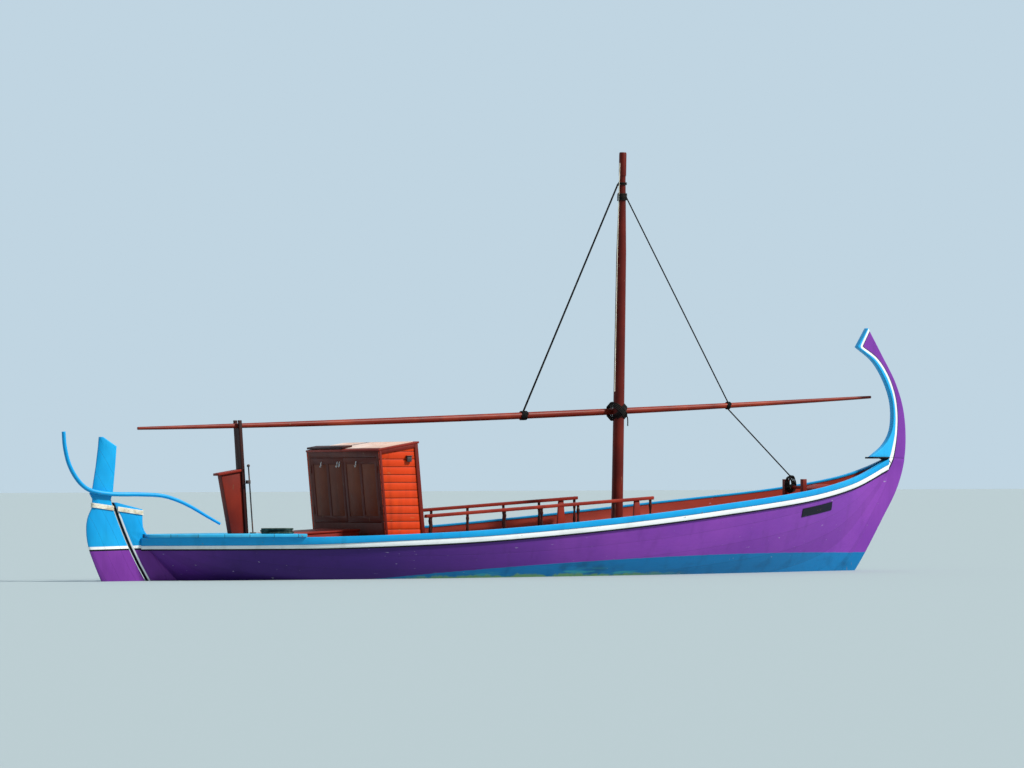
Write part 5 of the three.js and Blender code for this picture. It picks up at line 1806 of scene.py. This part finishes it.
@dataclass
class Steering:
    """Rudder, tiller and the irons and ropes that hold them.

    Attributes:
        half: Half thickness of the rudder.
        clear: Running gap to the stern post, measured along X.
        rows: Height, after edge and fore edge of the blade. Without a fore edge it follows the seam.
        tiller_line: Middle line of the tiller, from its after end to its grip.
        seam_top: Upper end of the curved seam, as (x, z).
        seam_run: How far the seam runs forward and down.
        seam_swell: How far it bulges aft.
        rope: Radius of the rope round rudder and post.
        rope_turns: How many turns of it.
    """

    half: float = 0.030
    clear: float = 0.0184
    rows: tuple[tuple[float, float, float | None], ...] = (
        (1.755, -5.552, -5.500), (1.640, -5.562, -5.318), (1.400, -5.594, -5.338), (1.120, -5.642, -5.366),
        (1.070, -5.682, -5.372), (1.000, -5.642, -5.398), (0.900, -5.646, None), (0.760, -5.708, None),
        (0.600, -5.722, None), (0.410, -5.692, None), (0.220, -5.620, None), (0.030, -5.536, None),
        (-0.200, -5.420, None), (-0.430, -5.300, None), (-0.640, -5.180, None),
    )
    tiller_line: tuple[Flat, ...] = (
        (-6.050, 1.818), (-6.035, 1.640), (-5.985, 1.440), (-5.900, 1.280), (-5.790, 1.160),
        (-5.660, 1.096), (-5.400, 1.060), (-5.050, 1.054), (-4.760, 1.040), (-4.560, 0.992),
        (-4.350, 0.905), (-4.140, 0.792), (-3.942, 0.687),
    )
    seam_top: Flat = (-5.380, 0.950)
    seam_run: Flat = (0.880, 1.590)
    seam_swell: float = 0.076
    rope: float = 0.0062
    rope_turns: int = 5

    def build(self) -> None:
        """Builds and dresses the steering."""
        fit(self.blade(), Body.RUDDER, Slot.HULL, POST_BANDS, "rudder_blade")
        fit(self.tiller(), Body.RUDDER, Slot.BLUE, SKY_BLUE, "tiller")
        dressed_copy("rudder_heel_pintle", "rudder_pintle", Body.RUDDER, Slot.IRON, IRON, 0.001)
        dressed_copy("keel_heel_shoe", "heel_iron", Body.HULL, Slot.IRON, IRON, 0.002)
        fit(self.band(True), Body.RUDDER, Slot.PALE_ROPE, PALE_ROPE, "rudder_band")
        fit(self.band(False), Body.HULL, Slot.PALE_ROPE, PALE_ROPE, "stern_post_band")

    def seam(self, z: float) -> float:
        """Place of the seam between stern post and rudder at a height.

        Args:
            z: The height.

        Returns:
            The place.
        """
        share = min(max((self.seam_top[1] - z) / self.seam_run[1], 0.0), 1.0)
        swell = self.seam_swell * math.sin(math.pi * min(share * 1.08, 1.0))
        return self.seam_top[0] + self.seam_run[0] * share - swell

    def blade(self) -> Piece:
        """The rudder, a board with eased edges.

        Returns:
            The piece.
        """
        head = [row for row in self.rows if row[0] > 0.9]
        curve = smooth_line([(aft, 0, z) for z, aft, _ in self.rows if z <= 0.9], 0.04)
        rings = []
        for z, aft, given in head + [(at.z, at.x, None) for at in curve]:
            fore = given if given is not None else self.seam(z) - self.clear
            nose, tail = min(0.034, (fore - aft) / 3), min(0.060, (fore - aft) / 3)
            half = self.half
            port = [(fore, 0.008), (fore - nose * 0.35, 0.022), (fore - nose, half)]
            port += [(aft + tail, half), (aft, 0.012)]
            rings.append([(x, y, z) for x, y in mirrored(port)])
        piece = rounded(skinned("rudder_board", rings), 0.003, 2, 40)
        measured(piece, "edge", lambda at: 0.0)
        return piece

    def tiller(self) -> Piece:
        """The curved tiller, thickest at the rudder and tapered to its grip.

        Returns:
            The piece.
        """
        side = -(self.half + 0.0274)
        line = smooth_line([(x, side, z) for x, z in self.tiller_line], 0.03)
        across = Vector((0, 1, 0))
        rings = []
        for place, at in enumerate(line):
            before, after = line[max(place - 1, 0)], line[min(place + 1, len(line) - 1)]
            run = (after - before).normalized()
            up = across.cross(run).normalized()
            share = place / (len(line) - 1)
            radius = 0.0268 - 0.006 * abs(2 * share - 0.7) ** 2
            rings.append(ring_of(at, radius * across, radius * up, 16))
        return rounded(skinned("curved_tiller", rings), 0.004, 2, 50)

    def band(self, on_rudder: bool) -> Piece:
        """Turns of rope round the rudder or the post, side by side.

        Args:
            on_rudder: Whether it is the half on the rudder.

        Returns:
            The piece.
        """
        half = (self.half if on_rudder else LINES.post_half) + GAP + self.rope
        (aft, high), (fore, low) = (-5.652, 0.898), (-4.984, 0.800)
        pieces = []
        for turn in range(self.rope_turns):
            lift = self.rope + turn * 0.0114

            def spot(x: float, y: float, lift: float = lift) -> Point:
                """A point of this turn."""
                return (x, y, high + (x - aft) * (low - high) / (fore - aft) + lift)

            if on_rudder:
                loop = [(-5.373, half), (-5.50, half), (-5.60, half * 0.98), (-5.645, 0.022), (-5.6535, 0.0)]
            else:
                loop = [(-5.326, half), (-5.18, half), (-5.02, half), (-4.984, half * 0.86), (-4.9745, 0.0)]
            path = loop + [(x, -y) for x, y in reversed(loop[:-1])]
            pieces.append(laid_rope("turn", [spot(x, y) for x, y in path], self.rope))
        return joined("rudder_rope_turns" if on_rudder else "post_rope_turns", *pieces)


@dataclass
class Rig:
    """Mast, stowed yard and the ropes between them.

    Attributes:
        foot: Heel of the mast.
        head: Its head.
        profile: Radius of the mast and height above its foot.
        yard_aft: After end of the yard, as (x, z).
        yard_fore: Its fore end.
        sag: How far it sags in the middle.
        crutch: Place of the crutch, over which the yard lies in the middle.
        beside: How far the yard lies to port beside the mast.
        stay: Height of the stay on the mast, and its place on the yard.
        stay_end: Where it comes down at the bitts.
        hoist: Height of the halyard on the mast, and its place on the yard.
        lashed: Height at which the yard is lashed to the mast.
    """

    foot: Flat = (1.779, -0.4265)
    head: Flat = (1.922, 5.440)
    profile: tuple[Flat, ...] = (
        (0.070, 0.0), (0.074, 0.01), (0.075, 1.2), (0.072, 2.4), (0.068, 3.6), (0.064, 4.56),
        (0.047, 5.30), (0.0415, 5.50), (0.041, 5.56), (0.048, 5.566), (0.048, 5.85), (0.042, 5.868),
    )
    yard_aft: Flat = (-5.050, 1.858)
    yard_fore: Flat = (5.920, 2.304)
    sag: float = 0.046
    crutch: float = -3.580
    beside: float = 0.124
    stay: Flat = (4.865, 3.620)
    stay_end: Point = (4.550, 0.118, 1.262)
    hoist: Flat = (5.035, 0.470)
    lashed: float = 2.1

    def build(self) -> None:
        """Builds and dresses the rig."""
        fit(self.mast(), Body.HULL, Slot.RED, MAST_RED, "mast")
        fit(self.yard(), Body.HULL, Slot.RED, SPAR_RED, "yard")
        fit(self.forestay(), Body.HULL, Slot.DARK_ROPE, BLACK_ROPE, "forestay")
        fit(self.halyard(), Body.HULL, Slot.DARK_ROPE, BLACK_ROPE, "halyard")
        fit(self.lashing(), Body.HULL, Slot.DARK_ROPE, BLACK_ROPE, "yard_lashing")
        fit(self.mast_line(), Body.HULL, Slot.PALE_ROPE, PALE_ROPE)

    def mast_x(self, z: float) -> float:
        """Place of the mast's middle at a height."""
        share = (z - self.foot[1]) / (self.head[1] - self.foot[1])
        return self.foot[0] + share * (self.head[0] - self.foot[0])

    def mast_run(self) -> Vector:
        """Direction of the mast, from foot to head."""
        return Vector((self.head[0] - self.foot[0], 0, self.head[1] - self.foot[1]))

    def mast_radius(self, z: float) -> float:
        """Radius of the mast at a height.

        Args:
            z: The height.

        Returns:
            The radius.
        """
        rise = z - self.foot[1]
        for (wide, low), (narrow, high) in zip(self.profile, self.profile[1:]):
            if rise <= high:
                return wide + (narrow - wide) * (rise - low) / (high - low)
        return self.profile[-1][0]

    def yard_at(self, x: float) -> Vector:
        """Point of the yard's middle line at a place.

        Args:
            x: The place.

        Returns:
            The point.
        """
        share = (x - self.yard_aft[0]) / (self.yard_fore[0] - self.yard_aft[0])
        z = self.yard_aft[1] + (self.yard_fore[1] - self.yard_aft[1]) * share
        y = (x - self.crutch) * self.beside / (self.foot[0] - self.crutch)
        return Vector((x, y, z - self.sag * 4 * share * (1 - share)))

    def yard_radius(self, x: float) -> float:
        """Radius of the yard at a place."""
        share = (x - self.yard_aft[0]) / (self.yard_fore[0] - self.yard_aft[0])
        return 0.018 + 0.025 * math.sin(math.pi * min(max(share, 0), 1)) ** 0.8

    def mast(self) -> Piece:
        """The mast, turned."""
        foot, head = ((x, 0, z) for x, z in (self.foot, self.head))
        return turned("mast_spar", self.profile, foot, head, 40)

    def yard(self) -> Piece:
        """The yard, thickest past its middle.

        Returns:
            The piece.
        """
        rings = []
        for x in LINES.places(self.yard_aft[0], self.yard_fore[0], 0.2):
            radius = self.yard_radius(x)
            rings.append(ring_of(self.yard_at(x), Vector((0, radius, 0)), Vector((0, 0, radius)), 20))
        return rounded(skinned("yard_spar", rings), 0.004, 2, 50)

    def turns_round(self, middle: Vector, run: Vector, radius: float, rope: float, turns: int) -> Piece:
        """Turns of rope side by side round a spar.

        Args:
            middle: Middle of the turns.
            run: Direction of the spar.
            radius: Radius of the spar.
            rope: Radius of the rope.
            turns: How many turns.

        Returns:
            The piece.
        """
        run = run.normalized()
        side = run.cross(Vector((0.3, 0.2, 0.9))).normalized()
        other = run.cross(side)
        out, steps = radius + rope * 1.02, 14
        points = []
        for place in range(turns * steps + 1):
            angle = place / steps * 2 * math.pi
            away = (place / steps - turns / 2) * 2.05 * rope
            arm = math.cos(angle) * side + math.sin(angle) * other
            points.append(tuple(middle + run * away + out * arm))
        return laid_rope("turns", points, rope)

    def forestay(self) -> Piece:
        """From turns on the mast down to turns on the yard, and on to the bitts.

        Returns:
            The piece.
        """
        high, place = self.stay
        top, crossing = Vector((self.mast_x(high), 0, high)), self.yard_at(place)
        start, out = top + Vector((0.060, 0, 0)), Vector((0, 0, self.yard_radius(place) + 0.009))
        pieces = [
            self.turns_round(top, self.mast_run(), self.mast_radius(high), 0.009, 5),
            laid_rope("upper", [tuple(start), tuple(crossing + out)], 0.0095),
            self.turns_round(crossing, Vector((1, 0, 0.03)), self.yard_radius(place), 0.0085, 3),
            laid_rope("tail", [tuple(crossing - out), self.stay_end], 0.0095),
        ]
        return joined("stay_rope", *pieces)

    def halyard(self) -> Piece:
        """Holds up the yard abaft the mast.

        Returns:
            The piece.
        """
        high, place = self.hoist
        top, crossing = Vector((self.mast_x(high), 0, high)), self.yard_at(place)
        radius = self.yard_radius(place)
        foot = crossing + Vector((0, 0, radius + 0.010))
        falls = []
        for side in (-1, 1):
            start = top + Vector((-0.064, side * 0.008, 0))
            end = foot + Vector((0, side * 0.010, 0))
            falls.append(laid_rope("fall", [tuple(start), tuple(end)], 0.0085))
        turns = self.turns_round(crossing, Vector((1, 0, 0.03)), radius, 0.0088, 5)
        collar = self.turns_round(top, self.mast_run(), self.mast_radius(high), 0.0085, 2)
        return joined("halyard_rope", *falls, turns, collar)

    def lashing(self) -> Piece:
        """Crossed turns that hold the yard to the mast, with a hanging tail.

        Returns:
            The piece.
        """
        middle = self.yard_at(self.mast_x(self.lashed))
        centre = Vector((middle.x, 0.045, middle.z))
        pieces = []
        for lean in (-1, 1):
            across = Vector((lean, 0, 1)).normalized()
            aside = Vector((-lean, 0, 1)).normalized()
            for turn in range(4):
                shift = aside * ((turn - 1.5) * 0.021)
                loop = ring_of(centre + shift, 0.132 * across, Vector((0, 0.140, 0)), 12)
                pieces.append(laid_rope("turn", [*loop, loop[0]], 0.0095))
        start = centre + Vector((0.07, -0.095, -0.02))
        tail = [start, start + Vector((0.02, -0.02, -0.07)), start + Vector((0.028, -0.012, -0.17))]
        pieces.append(laid_rope("tail", [tuple(at) for at in tail], 0.008))
        return joined("lashing_turns", *pieces)

    def mast_line(self) -> Piece:
        """A thin pale line down the after side of the mast.

        Returns:
            The piece.
        """
        points = []
        for z in (5.30, 4.2, 3.0, 2.35):
            points.append((self.mast_x(z) - self.mast_radius(z) - 0.007, -0.018, z))
        return laid_rope("mast_signal_line", points, 0.005)


@dataclass
class Helm:
    """Crutch for the yard, the helmsman's seat and the control rod.

    Attributes:
        crutch_edge: Width of the crutch's rounded edges.
        seat_edge: Width of the seat's rounded edges.
    """

    crutch_edge: float = 0.006
    seat_edge: float = 0.005

    def build(self) -> None:
        """Builds and dresses the helm."""
        dressed_copy("crutch", "yard_crutch", Body.HULL, Slot.RED, CRUTCH_DARK, self.crutch_edge)
        dressed_copy("seat_pedestal", "seat_stand", Body.HULL, Slot.RED, RED_UPRIGHT, self.seat_edge)
        dressed_copy("seat_board", "seat_plank", Body.HULL, Slot.RED, RED_BROWN, self.seat_edge)
        dressed_copy("control_rod", "engine_control", Body.HULL, Slot.IRON, IRON, 0.002)


@dataclass
class Foredeck:
    """Bitts with their rope turns.

    Attributes:
        x: Place of the bitts.
        bar_z: Height of their crossbar.
        loops: Place, half height and lean of each hanging loop.
    """

    x: float = 4.550
    bar_z: float = 1.104
    loops: tuple[Point, ...] = (
        (0.046, 0.094, 0.012), (0.066, 0.108, -0.016), (0.086, 0.100, 0.02), (0.106, 0.112, -0.012),
        (0.126, 0.096, 0.016), (0.146, 0.084, -0.01),
    )

    def build(self) -> None:
        """Builds and dresses the fore deck fittings."""
        dressed_copy("bitts", "bitt_posts", Body.HULL, Slot.RED, RED_UPRIGHT, 0.006)
        fit(self.turns(), Body.HULL, Slot.DARK_ROPE, BLACK_ROPE, "bitt_turns")

    def turns(self) -> Piece:
        """Turns of rope round the crossbar and hanging loops.

        Returns:
            The piece.
        """
        winding, corners, out = [], 12, 0.031
        for place in range(6 * corners + 1):
            angle = place / corners * 2 * math.pi
            along = 0.030 + place / corners * 0.022
            winding.append((self.x + out * math.cos(angle), along, self.bar_z + out * math.sin(angle)))
        pieces = [laid_rope("winding", winding, 0.0105)]
        for y, tall, lean in self.loops:
            loop = []
            for corner in range(corners + 1):
                angle = corner / corners * 2 * math.pi + 0.4
                across = 0.052 * math.cos(angle)
                loop.append((self.x + across, y + lean * math.sin(angle), 1.146 + tall * math.sin(angle)))
            pieces.append(laid_rope("loop", loop, 0.0095))
        return joined("bitt_rope_turns", *pieces)


@dataclass
class Rails:
    """Rails along the hold: turned spindles between a foot and a top rail.

    Attributes:
        y: Distance from the middle line.
        aft: After end.
        fore: Fore end.
        top_aft: Height of the top rail at its after end.
        top_fore: Its height at the fore end.
        foot_top: Top of the foot board.
        foot_low: Its underside.
        posts: How many spindles.
        first_post: Place of the first spindle.
        post_pitch: Distance between two spindles.
        spindle: Radius of a spindle in millimetres at each share of its height.
    """

    y: float = 0.940
    aft: float = -1.548
    fore: float = 1.772
    top_aft: float = 0.788
    top_fore: float = 1.000
    foot_top: float = 0.3464
    foot_low: float = 0.3204
    posts: int = 7
    first_post: float = -1.480
    post_pitch: float = 0.535
    spindle: tuple[Flat, ...] = (
        (23, 0.0), (23, 0.10), (17, 0.12), (22, 0.15), (23, 0.27), (14, 0.36), (13, 0.42), (20, 0.54),
        (21, 0.58), (14, 0.70), (13, 0.76), (21, 0.85), (22, 0.88), (17, 0.92), (18, 1.0),
    )

    def top(self, x: float) -> float:
        """Height of the top rail at a place."""
        return self.top_aft + (x - self.aft) * (self.top_fore - self.top_aft) / (self.fore - self.aft)

    def build(self) -> None:
        """Builds and dresses both rails."""
        for side in Side:
            fit(self.spindles(side), Body.HULL, Slot.BROWN, RAIL_BROWN, f"rail_{side.word}")
            fit(self.boards(side), Body.HULL, Slot.RED, RED_BROWN)

    def boards(self, side: Side) -> Piece:
        """Top rail, foot and the wide end board of one rail.

        Args:
            side: Its side of the boat.

        Returns:
            The piece.
        """
        middle, low = side.value * self.y, self.foot_low
        outline = [(self.aft, self.top_aft - 0.042), (self.fore, self.top_fore - 0.042)]
        outline += [(self.fore, self.top_fore), (self.aft, self.top_aft)]
        top = sawn("top", outline, middle - 0.032, middle + 0.032, 0.008)
        foot = block("foot", (-1.496, middle - 0.048, low), (self.fore, middle + 0.048, self.foot_top), 0.005)
        corners = [(1.44, low + 0.004), (1.61, low + 0.004)]
        corners += [(x, self.top(x) - 0.02) for x in (1.56, 1.49)]
        end = sawn("end", corners, middle - 0.014, middle + 0.014, 0.004)
        return joined(f"rail_boards_{side.word}", top, foot, end)

    def spindles(self, side: Side) -> Piece:
        """Turned posts with a bead and a waist, copied along the rail.

        Args:
            side: Its side of the boat.

        Returns:
            The piece.
        """
        pieces = []
        for place in range(self.posts):
            x = self.first_post + place * self.post_pitch
            height = self.top(x) - 0.030 - self.foot_top
            profile = [(radius / 1000, share * height) for radius, share in self.spindle]
            base = (x, side.value * self.y, self.foot_top)
            pieces.append(turned("spindle", profile, base, (base[0], base[1], base[2] + 1), 16))
        return joined(f"rail_spindles_{side.word}", *pieces)


@dataclass
class RopeHeap:
    """A mooring line coiled down on the stern platform.

    Attributes:
        middle: Middle of the coil, on the platform.
        radius: Radius of the rope.
        inner: Radius of the innermost turn's middle.
        across: Turns side by side.
        layers: Turns on top of each other.
    """

    middle: Point = (-3.458, -0.640, 0.5664)
    radius: float = 0.012
    inner: float = 0.112
    across: int = 4
    layers: int = 3

    def build(self) -> None:
        path = self.path()
        rope = laid_rope("mooring_line", path, self.radius)
        fit(rope, Body.HULL, Slot.DARK_ROPE, DARK_ROPE, "rope_coil")
        line = smooth_line(path, self.radius * 0.9)
        length = sum((end - start).length for start, end in zip(line, line[1:]))

    def path(self) -> list[Point]:
        """The rope's middle line: spirals out and in, layer by layer.

        Returns:
            Its points.
        """
        points = []
        spacing = 2.1 * self.radius
        steps = 20
        for layer in range(self.layers):
            for place in range(self.across * steps + (0 if layer < self.layers - 1 else 1)):
                turn = place / steps
                share = turn if layer % 2 == 0 else self.across - turn
                angle = (layer * self.across + turn) * 2 * math.pi
                wobble = 0.005 * math.sin(2.3 * angle + layer)
                out = self.inner + share * spacing * 0.86 + wobble
                rise = self.radius * 1.04 + layer * 1.86 * self.radius
                ease = min(place / 5, 1.0)
                if layer:
                    rise -= 1.86 * self.radius * (1 - ease) ** 2
                at = Vector(self.middle) + Vector((out * math.cos(angle), out * math.sin(angle), rise))
                points.append(tuple(at))
        return points


# Floor, light and camera


@dataclass
class Studio:
    """Floor at the waterline, soft light and the camera at the photograph's angle.

    Attributes:
        distance: From the camera to the boat's origin.
        height: Height of the camera over the waterline.
        focus: Focal length in pixels of a picture as wide as width.
        width: Width of the picture in pixels.
        off_middle: Pixels by which the boat's origin lies right of and under the picture's middle.
        roll: How far the camera is turned about its own axis, in radians.
        reach: Radius of the floor.
        shore: Ends of the floor's opening, in which the hull floats.
        sun_aim: Direction in which the sun shines.
        sun_power: Its strength.
        sky_powers: Strength of the sky where it is weakest and strongest.
    """

    distance: float = 62.0
    height: float = 1.15
    focus: float = 4879.0
    width: int = 1024
    off_middle: Flat = (17.0, 101.0)
    roll: float = -0.0041
    reach: float = 900.0
    shore: Flat = (-4.44, 5.16)
    sun_aim: Point = (-0.455, 0.545, -0.705)
    sun_power: float = 4.7
    sky_powers: Flat = (0.40, 0.80)

    def build(self) -> None:
        """Sets up the studio."""
        self.floor()
        self.lights()
        self.camera()

    def floor(self) -> None:
        """A wide pale floor at the waterline, open where the hull floats in it."""
        places = LINES.places(*self.shore)
        shore = mirrored([(x, max(LINES.breadth(x, 0.0) - 0.018, 0.01)) for x in places])
        count = len(shore)
        clear_selection()
        bpy.ops.mesh.primitive_circle_add(vertices=count)
        rim = bpy.context.object
        for corner, vertex in enumerate(rim.data.vertices):
            angle = math.pi - (corner + 0.5) / count * 2 * math.pi
            vertex.co = (self.reach * math.cos(angle), self.reach * math.sin(angle), 0)
        clear_selection()
        bpy.ops.mesh.primitive_circle_add(vertices=count)
        opening = bpy.context.object
        for vertex, (x, y) in zip(opening.data.vertices, shore):
            vertex.co = (x, y, 0)
        floor = joined("floor", opening, rim)
        edit(
            floor,
            bpy.ops.mesh.bridge_edge_loops,
            lambda: bpy.ops.mesh.normals_make_consistent(inside=False),
        )
        sheet = Sheet("pale floor")
        sheet.finish((0.34, 0.40, 0.42, 1.0), 0.8, None)
        floor.data.materials.append(sheet.material)

    def lights(self) -> None:
        """A soft sun from ahead on the starboard side, and pale light all round."""
        clear_selection()
        bpy.ops.object.light_add(type="SUN", location=(10, -14, 18))
        sun = bpy.context.object
        sun.name = "sun"
        sun.data.energy = self.sun_power
        sun.data.angle = math.radians(7)
        sun.data.color = (1.0, 0.955, 0.88)
        sun.rotation_euler = Vector(self.sun_aim).to_track_quat("-Z", "Y").to_euler()
        world = bpy.context.scene.world or bpy.data.worlds.new("world")
        bpy.context.scene.world = world
        world.use_nodes = True
        self.sky(world.node_tree)
        bpy.context.scene.view_settings.view_transform = "Standard"

    def sky(self, tree: bpy.types.NodeTree) -> None:
        """Pale light from all round, a little stronger over the port side than abaft.

        Args:
            tree: The world's nodes.
        """
        background = tree.nodes["Background"]
        background.inputs["Color"].default_value = (0.66, 0.83, 0.95, 1)
        place = tree.nodes.new("ShaderNodeTexCoord")
        facing = tree.nodes.new("ShaderNodeVectorMath")
        facing.operation = "DOT_PRODUCT"
        facing.inputs[1].default_value = (0.45, 0.89, 0.0)
        rise = tree.nodes.new("ShaderNodeMapRange")
        rise.interpolation_type = "SMOOTHSTEP"
        low, high = self.sky_powers
        for name, value in (("From Min", -0.7), ("From Max", 0.6), ("To Min", low), ("To Max", high)):
            rise.inputs[name].default_value = value
        tree.links.new(place.outputs["Generated"], facing.inputs[0])
        tree.links.new(facing.outputs["Value"], rise.inputs["Value"])
        tree.links.new(rise.outputs[0], background.inputs["Strength"])

    def camera(self) -> None:
        """The camera, from aft of the starboard beam and low over the water."""
        clear_selection()
        look = Vector((0.5, math.sqrt(0.75), 0))
        bpy.ops.object.camera_add(location=(-look.x * self.distance, -look.y * self.distance, self.height))
        camera = bpy.context.object
        camera.name = "camera"
        camera.data.sensor_width = 36
        camera.data.lens = camera.data.sensor_width * self.focus / self.width
        camera.data.clip_end = 3000
        yaw = math.radians(-30) - math.atan(self.off_middle[0] / self.focus)
        pitch = math.radians(90) + math.atan(self.off_middle[1] / self.focus)
        turn = Matrix.Rotation(yaw, 4, "Z") @ Matrix.Rotation(pitch, 4, "X")
        turn = turn @ Matrix.Rotation(self.roll, 4, "Z")
        camera.matrix_world = Matrix.Translation(camera.location) @ turn
        bpy.context.scene.camera = camera


def main() -> None:
    """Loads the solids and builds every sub-assembly over them."""
    logging.basicConfig(level=logging.INFO, format="%(name)s: %(message)s")
    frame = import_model()
    NODE_OBJECTS.update({name: node.name for name, node in frame["nodes"].items()})
    Studio().build()
    RopeHeap().build()
    for part in (Hull(), Decks(), Cabin(), Machinery(), Steering(), Rig(), Helm(), Foredeck(), Rails()):
        part.build()


if __name__ == "__main__":
    main()
